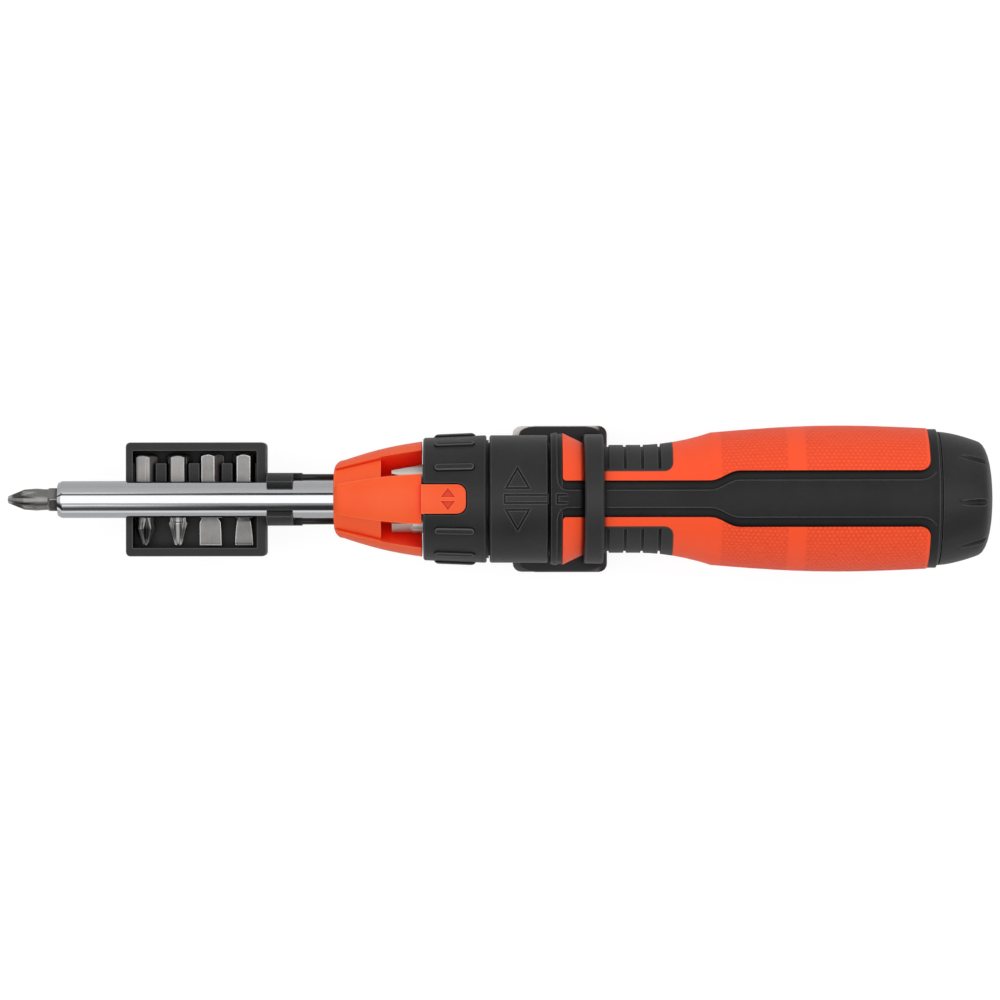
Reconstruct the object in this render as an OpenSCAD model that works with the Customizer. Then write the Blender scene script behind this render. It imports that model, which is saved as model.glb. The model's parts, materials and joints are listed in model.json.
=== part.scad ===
// Ratcheting screwdriver with a bit magazine in its nose, and a carrier that
// holds four more bits and a belt clip.
// The tool lies along X: the bit points to -X and the end cap to +X.
// The origin is on the tool's axis at the mouth of the bit socket.

/* [Bits] */
// Across the flats of a bit's hexagon
hex_af = 6.35; // [6:0.05:6.5]
// Length of one bit
bit_len = 25.4; // [24:0.1:27]
// How far the fitted bit stands out of the shaft
bit_out = 13.8; // [12.5:0.1:15]

/* [Shaft] */
// Wall of the hexagon socket inside the tube, at its corners
insert_wall = 0.42; // [0.35:0.01:0.8]
// Bare length from the mouth to the nose
shaft_show = 76.2; // [74:0.1:90]
// Wall of the tube
shaft_wall = 0.9; // [0.7:0.05:1.2]

/* [Magazine] */
// Length of the orange nose
nose_len = 24.3; // [23.5:0.1:28]
// Diameter of the nose where its front rounding ends
nose_front_d = 21.5; // [20.5:0.1:23]
// Step from the nose up to the collar
nose_step = 1; // [0.4:0.1:1.6]
// Length of the ribbed collar
collar_len = 17.4; // [17:0.1:22]
// Fall of the collar's radius from its back to its front
collar_taper = 0.7; // [0.2:0.1:1.2]
// Wall of the collar at its front
collar_wall = 2.9; // [2.2:0.1:3.1]
// Height of a finger rib
rib_rise = 0.8; // [0.3:0.05:0.9]
// Width of a finger rib
rib_w = 2.5; // [1.5:0.1:3.5]
// Width of the tongue that keys the nose to the collar
tongue_w = 8; // [6:0.1:9]
// Length of the tongue
tongue_len = 12.2; // [10:0.1:13]
// Wall of the drum outside a stored bit
drum_wall = 1.25; // [1:0.05:1.4]

/* [Ratchet] */
// Length of the selector ring
selector_len = 16.2; // [16:0.1:19]
// Wall of the selector ring
selector_wall = 2.1; // [1.9:0.1:2.8]
// Number of teeth on the ratchet gear
gear_teeth = 24; // [16:2:36]
// Height of the gear's rim and teeth above the shaft
gear_rim = 2.27; // [2:0.01:2.8]
// Distance from the gear's teeth out to the pawls' pivots
pivot_out = 4.4; // [4.2:0.05:5]
// Turn between two stops of the selector ring
selector_step = 24; // [18:1:30]

/* [Handle] */
// Step from the selector ring up to the front flange
flange_rise = 0.6; // [0:0.1:1]
// Diameter of the neck
neck_d = 29.8; // [29.4:0.1:31]
// Diameter at the shoulder
shoulder_d = 36.6; // [35:0.1:38]
// Largest diameter of the grip
belly_d = 40.3; // [39:0.1:42]
// Diameter at the tail of the grip
tail_d = 38.8; // [37.8:0.1:40]
// Length from the flange to the cap's seam
handle_len = 106.9; // [100:0.1:120]
// Thickness of the soft grips
grip_t = 2.2; // [1.6:0.05:2.3]
// Width of the black band along the neck
band_narrow_w = 9.9; // [8:0.1:11]
// Width of the black band along the belly
band_wide_w = 15.3; // [12:0.1:17]
// Wall round the storage bay where it starts
bay_wall = 1.8; // [1.5:0.1:4]

/* [End cap] */
// Length of the cap outside the handle
cap_len = 14.7; // [13:0.1:17]
// Diameter of the cap at its seam
cap_d = 36.8; // [36:0.1:37.6]
// Length of the cap's threaded plug
plug_len = 6; // [5.5:0.1:8]
// Number of finger flutes in the cap
flute_count = 8; // [5:1:10]

/* [Carrier] */
// Room at each end of a bit in the tray
tray_end_room = 0.8; // [0.3:0.1:3]
// Height of the tray's rim above the bits
tray_cover = 1.4; // [0.5:0.1:3]
// Wall of the bit tray
tray_wall = 1.9; // [1.2:0.1:2.2]
// Distance between neighbouring bits in the tray
tray_pitch = 9.15; // [8.8:0.05:11]
// Distance between the middle of the two rods
rod_spacing = 12.2; // [11:0.1:12.6]
// Diameter of a rod
rod_d = 1.86; // [1.4:0.02:1.9]
// Width of the strap round the neck
strap_w = 5.3; // [4:0.1:5.6]
// Length of the belt clip, along the tool
clip_len = 26.5; // [24:0.1:28]
// Width of the belt clip, across the tool
clip_w = 41; // [39:0.1:44]
// Thickness of the belt clip's steel
clip_t = 1; // [0.8:0.05:1.2]
// Room for a belt between the clip's leaves
belt_gap = 5.4; // [4.8:0.1:7]

/* [Hidden] */
$fn = 64;

// Clearances
overrun = 1;          // how far a cut runs past the face it opens
slip = 0.1;           // radial room of a turning or sliding fit
seat = 0.03;          // radial room of a fixed fit
seam = 0.06;          // room between moulded-over parts
face_gap = 0.4;       // gap between the faces of neighbouring rings
hex_slip = 0.15;      // room across the flats of a hexagon socket
carrier_slip = 0.5;   // room between the tool and its carrier

// Shaft
mouth_chamfer = 1.1;
mouth_lip = 0.35;     // wall left at the mouth's end face
insert_len = 18;
socket_r = (hex_af + hex_slip) / 2 / cos(30);
shaft_bore_r = socket_r + insert_wall + seat;
shaft_r = shaft_bore_r + shaft_wall;
magnet_len = 3;
magnet_r = 2.6;
bit_chamfer = 0.6;
socket_depth = bit_len - bit_out + slip;

// Radii from the shaft outwards
gear_r = shaft_r + seat + gear_rim;
pivot_r = gear_r + pivot_out;
pawl_eye_r = 2;
pawl_room_r = 0.5;    // room outside a pawl's eye
pawl_wall = 1.1;
pawl_wall_r = pivot_r + pawl_eye_r + pawl_room_r; // outer wall of the pawl pockets
housing_r = pawl_wall_r + pawl_wall;
selector_bore_r = housing_r + slip;
selector_r = selector_bore_r + selector_wall;
collar_back_r = selector_r;
collar_front_r = collar_back_r - collar_taper;
nose_back_r = collar_front_r - nose_step;
drum_r = collar_front_r - collar_wall;
bit_circle_r = drum_r - drum_wall - (hex_af + hex_slip) / 2;
flange_r = selector_r + flange_rise;

// Places along the axis
nose_x = shaft_show;
nose_end_x = nose_x + nose_len;
collar_x = nose_end_x + face_gap;
collar_end_x = collar_x + collar_len;
selector_x = collar_end_x + 2 * face_gap;
selector_end_x = selector_x + selector_len;
flange_x = selector_end_x + face_gap;
seam_x = flange_x + handle_len;

// Nose
nose_front_r = nose_front_d / 2;
nose_mouth_r = 7.4;   // radius where the front rounding starts
nose_round_len = 2.7;
nose_bulge = 0.6;
nose_points = 12;
nose_steps = 6;
recess_front_w = 5.9; // width of the recessed face at its front
recess_back_w = 8.8;  // width of the recessed face at its back
recess_lean = 3.5;    // how far round a recessed face lies towards the nose's marked faces
recess_drop = 1.45;   // depth of the recessed face below the nose's round
slot_start_share = 0.54;
slot_x = nose_x + nose_len * slot_start_share; // where a recessed face opens into a slot
slot_floor = 0.35;    // room under a stored bit
bit_angles = [45, 135, 225, 315];

// Drum and collar
collar_bore_r = drum_r + seat;
drum_x = collar_x + 2 * face_gap;
pocket_web = 0.6;     // material left behind a stored bit
tongue_x = nose_end_x - overrun;
tongue_end_x = nose_end_x + tongue_len;
tongue_round = 2.4;
tongue_bore_r = drum_r + slip;
tongue_r = collar_front_r + slip;
tongue_sink = 0.3;    // how far the tongue's root lies under the nose's skin
notch_gap = 0.35;
rib_len_share = 0.66; // a rib's length as a share of the collar's
rib_pitch = 30;
rib_steps = 6;
hub_step = 1.3;       // step down to the hub behind the collar
hub_gap = 0.2;        // gap between that hub and the selector ring
hub_wall = 0.6;       // the hub's wall round the cover's rim
rim_len = 0.5;        // how far the cover's rim reaches forward into the hub
rib_sink = 1;         // how deep a rib's root lies in the collar
rib_round_r = (rib_w * rib_w / 4 + rib_rise * rib_rise) / (2 * rib_rise);
stored_x = collar_end_x - pocket_web - bit_len;

// Ratchet
cover_t = 2.2;
cover_lip = 0.8;
cover_lip_rise = 0.9;
cover_x = selector_x;
rim_r = collar_back_r - hub_step - hub_wall - slip;
housing_x = cover_x + cover_t;
gear_pocket_len = 8;
gear_room = 0.3;
tooth_h = 0.8;
gear_x = housing_x + gear_room;
gear_len = gear_pocket_len - 2 * gear_room;
pocket_room = 0.7;
pocket_r = gear_r + pocket_room;
pivot_angle = 48;
pin_r = 1;
pawl_tip_gap = 0.2;
pawl_tip_angle = 8;
pawl_nose_w = 2.3;
pawl_low_angle = -14;
pawl_high_angle = 66;
pin_overlap = 1.6;    // how far a pivot pin enters the walls
bush_t = 1.75;
bush_r = shaft_r + slip + bush_t;
spigot_wall = 1.96;   // wall of the core outside the spigot's corners
spigot_af = 2 * cos(30) * (neck_d / 2 - grip_t - spigot_wall);
spigot_len = 13;
housing_end_x = flange_x - seat;
spigot_end_x = housing_end_x + spigot_len;
washer_t = 0.8;
washer_rim = 1;
washer_r = bush_r + washer_rim;
ring_t = 1;
ring_groove = 0.35;
ring_r = 7;
ring_mouth = 3;
shaft_tail = 2.4;
shaft_end_x = spigot_end_x + washer_t + ring_t + shaft_tail;
ball_r = 1.2;
ball_x = (housing_x + gear_pocket_len + housing_end_x) / 2;
ball_throw = 0.4;
spring_r = 1;
spring_wire = 0.32;
spring_turns = 4;
detent_spring_len = 2.95;
ball_rest_r = selector_bore_r - slip / 2 - ball_r;
spring_floor_r = ball_rest_r - ball_r - detent_spring_len - slip;
screw_r = 1;
screw_head_r = 1.7;
screw_head_t = 0.8;
screw_edge = 2.8;
screw_circle_r = housing_r - screw_edge;
screw_angles = [75, 105, 255, 285];
screw_len = 7;
ring_x = spigot_end_x + washer_t + face_gap / 2;
drive_pin_r = 1;

// Handle outline
flange_len = 3.4;
flange_chamfer = 1;
index_front = 1.7;    // from the flange's front to the index mark
cheek_len = 6;
cheek_step = 0.4;     // step down from the cheeks' ends to the neck
cheek_end_r = neck_d / 2 + cheek_step;
flare_share = 0.225;   // places along the handle, as shares of its length
shoulder_share = 0.415;
belly_share = 0.74;
bay_share = 0.375;
insert_share = 0.315;
flare_x = flange_x + handle_len * flare_share;
shoulder_x = flange_x + handle_len * shoulder_share;
belly_x = flange_x + handle_len * belly_share;
grip_end_x = seam_x - 3.1;
tail_round = 1;
neck_x = flange_x + flange_len + cheek_len;
outline_steps = 6;
strip_drop = 0.7;
tail_drop = 0.25;     // the same at the silhouette behind the grips
tail_ramp = 4.5;
flange_drop = 0.25;    // the strip's drop on the flange
panel_rise = 0.25;
strip_w = 2.5;
front_strip_w = 1.4;  // the strip's width in front of the cheeks
grip_corner = 2.8;
grip_front_corner = 0.9;
band_flare_x = shoulder_x - 0.6;
band_flare_len = 7.8;
insert_y = 7.6;       // from the tool's middle to an insert
strap_x = neck_x + slip;
insert_tuck = 1;      // how far the insert reaches under the strap
insert_x = strap_x + strap_w - insert_tuck;
insert_end_x = flange_x + handle_len * insert_share;
insert_corner = 2.3;
groove_count = 4;
groove_w = 0.8;
groove_depth = 0.5;
groove_y = 8.2;
groove_first = 1.7;   // from the insert's front end to the first groove
groove_last = 4;      // from the last groove to the insert's back end
bay_x = flange_x + handle_len * bay_share;
bay_t = (bay_share - flare_share) / (shoulder_share - flare_share);
bay_r = neck_d / 2 + (shoulder_d - neck_d) / 2 * bay_t * bay_t - grip_t - bay_wall;
shaft_room = 2;       // free length behind the shaft's end
nut_room_r = washer_r + face_gap;  // bore round the washer and its ring

// End cap
cap_gap = 0.25;
cap_x = seam_x + cap_gap;
cap_steps = 18;
cap_taper = 0.226;    // share of its width that the cap loses to its end, its corner left out
cap_taper_curve = 1.5;
cap_corner = 0.72;    // share of its length where its corner begins
cap_curve = 2.6;
cap_flatness = 0.43;
plug_step = 4;        // from the cap's rim in to its plug
plug_r = cap_d / 2 - plug_step;
plug_wall = 2.2;
seal_wire_r = 0.75;
seal_x = seam_x - 2.2;
seal_mid_r = plug_r - 0.6;
seal_room = 0.05;
mouth_r = plug_r + 0.3;
mouth_len = plug_len + 1.2;
flute_tool_r = 0.95;
flute_tilt = 23;
flute_offset = 4;
flute_depth = 0.55;
flute_back = 3;       // where the flute's axis crosses, in front of the cap's end
cap_shell = 2.4;

// Engraved marks
mark_w = 0.5;
mark_depth = 0.35;
arrow_gap = 2.7;      // from the axis to an arrow's foot
arrow_tall = 6.2;
arrow_half = 3.6;
bar_half = 1.35;
arrow_mid_share = 0.475;
bar_front = 3.9;
tongue_mark_x = 7.3;
tongue_mark_half = 1.95;
tongue_mark_gap = 0.55;
tongue_mark_tall = 2.5;
index_len = 3.6;

// Carrier
tray_x = 18.3;
tray_top_z = -shaft_r - carrier_slip;
tray_floor = 1.4;
tray_back_wall = 2.6;
tray_side_wall = 2.3;
tray_room = 0.2;
tray_bit_first = 3.2;  // from the front wall to the first bit's axis
tray_bit_last = 3.75;  // from the last bit's axis to the back wall
tray_len = tray_wall + tray_bit_first + 3 * tray_pitch + tray_bit_last + tray_back_wall;
tray_w = bit_len + 2 * (tray_end_room + tray_side_wall);
tray_depth = tray_floor + tray_room + hex_af + tray_cover;
tray_round = 1.2;
tray_bit_x = tray_x + tray_wall + tray_bit_first;
tray_floor_z = tray_top_z - tray_depth + tray_floor;
tray_room_len = tray_len - tray_wall - tray_back_wall;
tray_bit_z = tray_floor_z + hex_af / 2 + tray_room;
divider_w = 2.9;
divider_drop = 1.7;    // from the rim down to the dividers
rib_t = 0.5;           // half dividers on the end walls
bit_groove_r = hex_af / 2 / cos(30) + tray_room / 2;
bit_turn = 13;         // how far two of the bits lie turned off their flats
turn_lift = hex_af / 2 * (cos(30 - bit_turn) / cos(30) - 1);
divider_end_y = 10;
divider_back_y = -4;
groove_low_y = divider_back_y - slip;
groove_end_y = (bit_len + tray_end_room) / 2;
clasp_sink = 0.7;     // how far the clasp's foot grows out of the tray's wall
clasp_front = 0.55;   // from the tray's wall to the clasp
tray_end_x = tray_x + tray_len;
clasp_x = tray_end_x + clasp_front;
clasp_len = 7.15;
clasp_wall = 2.1;
clasp_bore_r = shaft_r + slip;
clasp_r = clasp_bore_r + clasp_wall;
clasp_half_angle = 41;
clasp_end_x = clasp_x + clasp_len;
boss_len = 2.2;
boss_r = 1.25;
rod_r = rod_d / 2;
rod_y = rod_spacing / 2;
rod_front_z = -10.6;
rod_hold = 5;         // how far a rod enters the clasp and the pad
rod_lead = 3.6;       // from the clasp to a rod's first bend
rod_front_x = clasp_end_x - rod_hold;
rod_bend_x = clasp_end_x + rod_lead;
rod_slope = 18;
rod_bend_r = 8;
rod_bend_steps = 5;
rod_sides = 14;
tool_bottom_r = flange_r;
pad_top_z = -tool_bottom_r - carrier_slip;
pad_t = 2.4;
rod_back_z = pad_top_z - pad_t / 2;
pad_lead = 8.4;       // from the pad's front edge to the flange
pad_x = flange_x - pad_lead;
pad_reveal = 1.75;    // how far the clip shows past the pad's ends
pad_tuck = 0.2;       // and past its sides
pad_len = clip_len - 2 * pad_reveal;
pad_w = clip_w - 2 * pad_tuck;
pad_corner_x = 4.4;
pad_corner_y = 2.2;
pad_corner_steps = 4;
pad_mid_x = pad_x + pad_len / 2;
rod_back_x = pad_x + rod_hold + slip;
strap_room = 0.3;
strap_in_r = neck_d / 2 + panel_rise + strap_room;
strap_t = 2.4;
strap_edge = 0.5;
foot_t = 0.9;
foot_out = 1.4;
clip_x = pad_x + (pad_len - clip_len) / 2;
clip_top_z = pad_top_z - pad_t;
clip_bend_r = belt_gap / 2 + clip_t;
clip_low_z = clip_top_z - 2 * clip_bend_r;
clip_corner = 2.4;
clip_upper_start = 6;
rivet_r = 1.5;
rivet_head_r = 2.6;
rivet_head_t = 0.7;
rivet_y = 11;
rivet_x = pad_x + pad_len / 2;
rivet_tail = 0.6;

// Shapes

// Turns a child so that its +Z runs along the tool
module on_axis() {
    rotate([0, 90, 0]) children();
}

// Solid of revolution round the tool's axis, from [radius, x] points
module turned(outline) {
    on_axis() rotate_extrude() polygon(outline);
}

module tube(x0, x1, outer_r, inner_r) {
    turned([[inner_r, x0], [outer_r, x0], [outer_r, x1], [inner_r, x1]]);
}

module bar(x0, x1, r) {
    translate([x0, 0, 0]) on_axis() cylinder(h = x1 - x0, r = r);
}

// Hexagonal bar with flats facing up and down
module hex_bar(x0, x1, af) {
    translate([x0, 0, 0]) on_axis() rotate([0, 0, 30]) cylinder(h = x1 - x0, r = af / 2 / cos(30), $fn = 6);
}

// Keeps what lies at both sides of the tool's middle plane
module both_sides() {
    children();
    mirror([0, 1, 0]) children();
}

// Straight prism through the whole tool, seen from above
module through(outline) {
    translate([0, 0, -belly_d]) linear_extrude(height = 2 * belly_d) polygon(outline);
}

function arc(cx, cy, r, a0, a1, n) =
    [for (i = [0 : n]) let (a = a0 + (a1 - a0) * i / n) [cx + r * cos(a), cy + r * sin(a)]];

// Rectangle with four round corners, from its low corner and size
function round_rect(x, y, w, h, r) = concat(
    arc(x + r, y + r, r, 180, 270, 4), arc(x + w - r, y + r, r, 270, 360, 4),
    arc(x + w - r, y + h - r, r, 0, 90, 4), arc(x + r, y + h - r, r, 90, 180, 4));

// Closed tube through rings of points, a ring being `sides` points long
module swept(rings, sides) {
    n = len(rings) / sides - 1;
    last = n * sides;
    polyhedron(
        points = rings,
        faces = concat(
            [for (i = [0 : n - 1], s = [0 : sides - 1])
                let (a = i * sides + s, b = i * sides + (s + 1) % sides)
                each [[a, b, b + sides], [a, b + sides, a + sides]]],
            [for (s = [1 : sides - 2]) [0, s + 1, s]],
            [for (s = [1 : sides - 2]) [last, last + s, last + s + 1]]));
}

// Coil spring along +Z, one unbroken wire
coil_sides = 6;
coil_steps = 12;
function coil_ring(i, n, r, wire, turns, length) =
    let (a = 360 * turns * i / n, z = wire + (length - 2 * wire) * i / n)
    [for (s = [0 : coil_sides - 1]) let (b = 360 * s / coil_sides)
        [(r - wire + wire * cos(b)) * cos(a), (r - wire + wire * cos(b)) * sin(a), z + wire * sin(b)]];

module coil(r, wire, turns, length) {
    n = coil_steps * turns;
    swept([for (i = [0 : n]) each coil_ring(i, n, r, wire, turns, length)], coil_sides);
}

// Bits. Each points to -X with its tip at 0 and its back at bit_len.
tip_len = 9.6;
tip_neck_r = 2.55;
thick_neck_r = 3;     // neck of the fitted bit
fitted_front = 11.7;  // from the fitted bit's tip to its hexagon
tip_shoulder = 1.2;
cone_tip_r = 0.9;
cone_tip_len = 4.6;
cone_tip_long = 6;
cone_r = 2.9;
flute_w = 2.3;
flute_run = 9;
flute_low = 0.35;
flute_slope = 14;
blade_wide_w = 6.3;
blade_narrow_w = 5;
blade_stored_w = 5.6;
blade_t = 0.9;
blade_mid = 0.77;      // where along its grind a blade has blade_mid_share of its growth
blade_mid_share = 0.54;
blade_wide_root_t = 2.8;
blade_wide_len = 6.2; // from the wide blade's edge to its cut shoulders
blade_narrow_root_t = 5.4;
blade_stored_root_t = 6;
blade_grind = 8.4;
square_w = 3.3;
star_r = 2.25;
star_cut_r = 0.75;
star_cut_at = 2.45;

module bit_shank(front = tip_len) {
    intersection() {
        hex_bar(front, bit_len, hex_af);
        turned([[0, front], [hex_af / 2 - bit_chamfer, front],
            [hex_af, front + hex_af / 2 + bit_chamfer],
            [hex_af, bit_len - hex_af / 2 - bit_chamfer],
            [hex_af / 2 - bit_chamfer / 2, bit_len], [0, bit_len]]);
    }
    bar(front - tip_shoulder, bit_len - hex_af, tip_neck_r);
}

// Four-fluted cross tip, its cone cone_long millimetres long and its hexagon starting at front
module bit_phillips(cone_long = cone_tip_len, neck_r = tip_neck_r, front = tip_len) {
    color("gray") {
        difference() {
            turned([[0, 0], [cone_tip_r, 0], [cone_r, cone_long],
                [neck_r, tip_len - tip_shoulder], [neck_r, front + tip_shoulder],
                [0, front + tip_shoulder]]);
            for (a = [0 : 90 : 270])
                rotate([a + 45, 0, 0])
                    translate([-overrun, 0, flute_low])
                        rotate([0, -flute_slope, 0])
                            rotate([45, 0, 0]) cube([flute_run, flute_w, flute_w]);
        }
        bit_shank(front);
    }
}

// Flat blade, ground on both sides of a round blank
module bit_blade(blade_w, root_t, shoulder = tip_len - tip_shoulder) {
    mid_x = blade_mid * blade_grind;
    mid_t = blade_t + (root_t - blade_t) * blade_mid_share;
    color("gray") {
        intersection() {
            turned([[0, 0], [blade_w / 2, 0], [blade_w / 2, shoulder],
                [tip_neck_r, shoulder + tip_shoulder], [tip_neck_r, tip_len + tip_shoulder],
                [0, tip_len + tip_shoulder]]);
            rotate([90, 0, 0])
                translate([0, 0, -blade_w])
                    linear_extrude(height = 2 * blade_w)
                        polygon([[0, -blade_t / 2], [mid_x, -mid_t / 2], [blade_grind, -root_t / 2],
                            [blade_grind, -hex_af], [bit_len, -hex_af], [bit_len, hex_af],
                            [blade_grind, hex_af], [blade_grind, root_t / 2], [mid_x, mid_t / 2],
                            [0, blade_t / 2]]);
        }
        bit_shank();
    }
}

module bit_square() {
    color("gray") {
        translate([0, -square_w / 2, -square_w / 2]) cube([tip_len, square_w, square_w]);
        turned([[0, cone_tip_len], [square_w / 2, cone_tip_len],
            [tip_neck_r, cone_tip_len + tip_shoulder], [tip_neck_r, tip_len + tip_shoulder],
            [0, tip_len + tip_shoulder]]);
        bit_shank();
    }
}

module bit_star() {
    color("gray") {
        difference() {
            bar(0, tip_len, star_r);
            for (a = [0 : 60 : 300])
                rotate([a, 0, 0]) translate([0, 0, star_cut_at])
                    bar(-overrun, cone_tip_len, star_cut_r);
        }
        turned([[0, cone_tip_len], [star_r, cone_tip_len],
            [tip_neck_r, cone_tip_len + tip_shoulder], [tip_neck_r, tip_len + tip_shoulder],
            [0, tip_len + tip_shoulder]]);
        bit_shank();
    }
}

// Shaft
module fitted_bit() {
    rotate([30, 0, 0]) translate([-bit_out, 0, 0]) bit_phillips(cone_tip_len, thick_neck_r, fitted_front);
}

module shaft_tube() {
    color("silver")
        difference() {
            turned([[shaft_bore_r, 0], [shaft_bore_r + mouth_lip, 0],
                [shaft_r, mouth_chamfer], [shaft_r, shaft_end_x], [shaft_bore_r, shaft_end_x]]);
            tube(ring_x, ring_x + ring_t + slip, shaft_r + overrun, shaft_r - ring_groove);
            drive_pin_hole();
        }
}

module drive_pin_hole() {
    translate([gear_x + gear_len / 2, 0, 0])
        cylinder(h = 4 * shaft_r, r = drive_pin_r + seat, center = true);
}

module socket_insert() {
    color("dimgray")
        difference() {
            bar(mouth_lip, insert_len, shaft_bore_r - seat);
            rotate([30, 0, 0]) hex_bar(-overrun, socket_depth, hex_af + hex_slip);
            bar(socket_depth - overrun, socket_depth + magnet_len, magnet_r + seat);
        }
}

module socket_magnet() {
    color("darkgray") bar(socket_depth + slip / 2, socket_depth + magnet_len, magnet_r);
}

// Magazine
function nose_r(t) = nose_front_r + (nose_back_r - nose_front_r) * t + nose_bulge * sin(180 * t);

nose_round_x = nose_x + nose_round_len;
nose_outline = concat(
    [[shaft_r + slip, nose_x]],
    [for (i = [0 : nose_steps]) let (a = 90 * i / nose_steps)
        [nose_mouth_r + (nose_front_r - nose_mouth_r) * sin(a), nose_round_x - nose_round_len * cos(a)]],
    [for (i = [1 : nose_points]) let (t = i / nose_points)
        [nose_r(t), nose_round_x + (nose_end_x - nose_round_x) * t]],
    [[shaft_r + slip, nose_end_x]]);

// Recessed face above one stored bit: its plan outline, swept outwards from its floor
module nose_recess() {
    intersection() {
        linear_extrude(height = 2 * nose_back_r)
            polygon([[nose_x - overrun, -recess_front_w / 2], [nose_end_x + overrun, -recess_back_w / 2],
                [nose_end_x + overrun, recess_back_w / 2], [nose_x - overrun, recess_front_w / 2]]);
        rotate([90, 0, 0])
            translate([0, 0, -recess_back_w])
                linear_extrude(height = 2 * recess_back_w)
                    polygon([
                        [nose_x - overrun, nose_front_r - recess_drop - overrun],
                        [nose_round_x, nose_front_r - recess_drop],
                        [(nose_round_x + nose_end_x) / 2, nose_r(0.5) - recess_drop],
                        [nose_end_x + overrun, nose_back_r - recess_drop],
                        [nose_end_x + overrun, 2 * nose_back_r],
                        [nose_x - overrun, 2 * nose_back_r]]);
    }
}

// Slot that opens a recessed face over one stored bit
module nose_slot() {
    slot_low = bit_circle_r - hex_af / 2 - slot_floor;
    slot_narrow = recess_front_w + (recess_back_w - recess_front_w) * (slot_x - nose_x) / nose_len;
    translate([0, 0, slot_low])
        linear_extrude(height = 2 * nose_back_r)
            polygon([[slot_x, -slot_narrow / 2], [nose_end_x + overrun, -recess_back_w / 2],
                [nose_end_x + overrun, recess_back_w / 2], [slot_x, slot_narrow / 2]]);
}

function tongue_outline(grow) = concat(
    [[tongue_x - grow, -tongue_w / 2 - grow]],
    arc(tongue_end_x - tongue_round, -tongue_w / 2 + tongue_round, tongue_round + grow, 270, 360, 5),
    arc(tongue_end_x - tongue_round, tongue_w / 2 - tongue_round, tongue_round + grow, 0, 90, 5),
    [[tongue_x - grow, tongue_w / 2 + grow]]);

function triangle(x, half, foot, tall) = [[x - half, foot], [x + half, foot], [x, foot + tall]];

// Two triangles that point to either side of the tool
module arrow_pair(x, half, foot, tall, height) {
    both_sides() linear_extrude(height = height) polygon(triangle(x, half, foot, tall));
}

module magazine_nose() {
    color("orangered")
        difference() {
            union() {
                turned(nose_outline);
                intersection() {
                    turned([[tongue_bore_r, tongue_x], [nose_back_r - tongue_sink, tongue_x],
                        [nose_back_r - tongue_sink, nose_end_x], [tongue_r, nose_end_x],
                        [tongue_r, tongue_end_x], [tongue_bore_r, tongue_end_x]]);
                    through(tongue_outline(0));
                }
            }
            for (a = bit_angles)
                rotate([a - recess_lean * sin(2 * a), 0, 0]) {
                    nose_recess();
                    nose_slot();
                }
            difference() {
                arrow_pair(nose_end_x + tongue_mark_x, tongue_mark_half, tongue_mark_gap,
                    tongue_mark_tall, 2 * nose_back_r);
                bar(tongue_x, tongue_end_x, tongue_r - mark_depth);
            }
        }
}

collar_rib_len = collar_len * rib_len_share;
collar_lean = atan(collar_taper / collar_len);
collar_mid_r = (collar_front_r + collar_back_r) / 2;

// Outline of a pillow that is half_len long to each side, as [radius, x]
function pillow(half_len, r) = concat(
    [for (i = [0 : rib_steps]) let (a = 90 * i / rib_steps) [r * sin(a), r - half_len - r * cos(a)]],
    [for (i = [0 : rib_steps]) let (a = 90 * i / rib_steps) [r * cos(a), half_len - r + r * sin(a)]]);

// Finger rib, round at its ends and across its top, lying along the collar's taper
module finger_rib() {
    translate([collar_x + collar_len / 2, 0, collar_mid_r - rib_sink])
        rotate([0, -collar_lean, 0])
            intersection() {
                linear_extrude(height = rib_sink + 2 * rib_rise)
                    translate([-collar_rib_len / 2, -rib_w / 2])
                        polygon(round_rect(0, 0, collar_rib_len, rib_w, rib_w / 2));
                translate([0, 0, rib_sink + rib_rise - rib_round_r])
                    turned(pillow(collar_rib_len / 2 + rib_round_r - rib_w / 2, rib_round_r));
            }
}

module finger_collar() {
    edge = face_gap;
    color("#2b2b2b")
        difference() {
            union() {
                turned([[collar_bore_r, collar_x], [collar_front_r - edge, collar_x],
                    [collar_front_r, collar_x + edge], [collar_back_r, collar_end_x - edge],
                    [collar_back_r - edge, collar_end_x], [collar_back_r - hub_step, collar_end_x],
                    [collar_back_r - hub_step, selector_x - hub_gap], [rim_r + slip, selector_x - hub_gap],
                    [rim_r + slip, collar_end_x], [collar_bore_r, collar_end_x]]);
                for (a = [rib_pitch : rib_pitch : 180 - rib_pitch])
                    both_sides() rotate([-a, 0, 0]) finger_rib();
            }
            through(tongue_outline(notch_gap));
        }
}

module magazine_drum() {
    color("#333333")
        difference() {
            tube(drum_x, collar_end_x, drum_r, shaft_r + seat);
            for (a = bit_angles)
                rotate([a, 0, 0]) translate([0, 0, bit_circle_r])
                    hex_bar(drum_x - overrun, collar_end_x - pocket_web + slip, hex_af + hex_slip);
        }
}

module stored(a) {
    rotate([a, 0, 0]) translate([stored_x, 0, bit_circle_r]) children();
}

module stored_bit_slotted() {
    stored(bit_angles[3]) rotate([120, 0, 0]) bit_blade(blade_stored_w, blade_stored_root_t);
}

module stored_bit_square() {
    stored(bit_angles[0]) bit_square();
}

module stored_bit_star() {
    stored(bit_angles[1]) bit_star();
}

module stored_bit_phillips() {
    stored(bit_angles[2]) bit_phillips();
}

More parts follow.
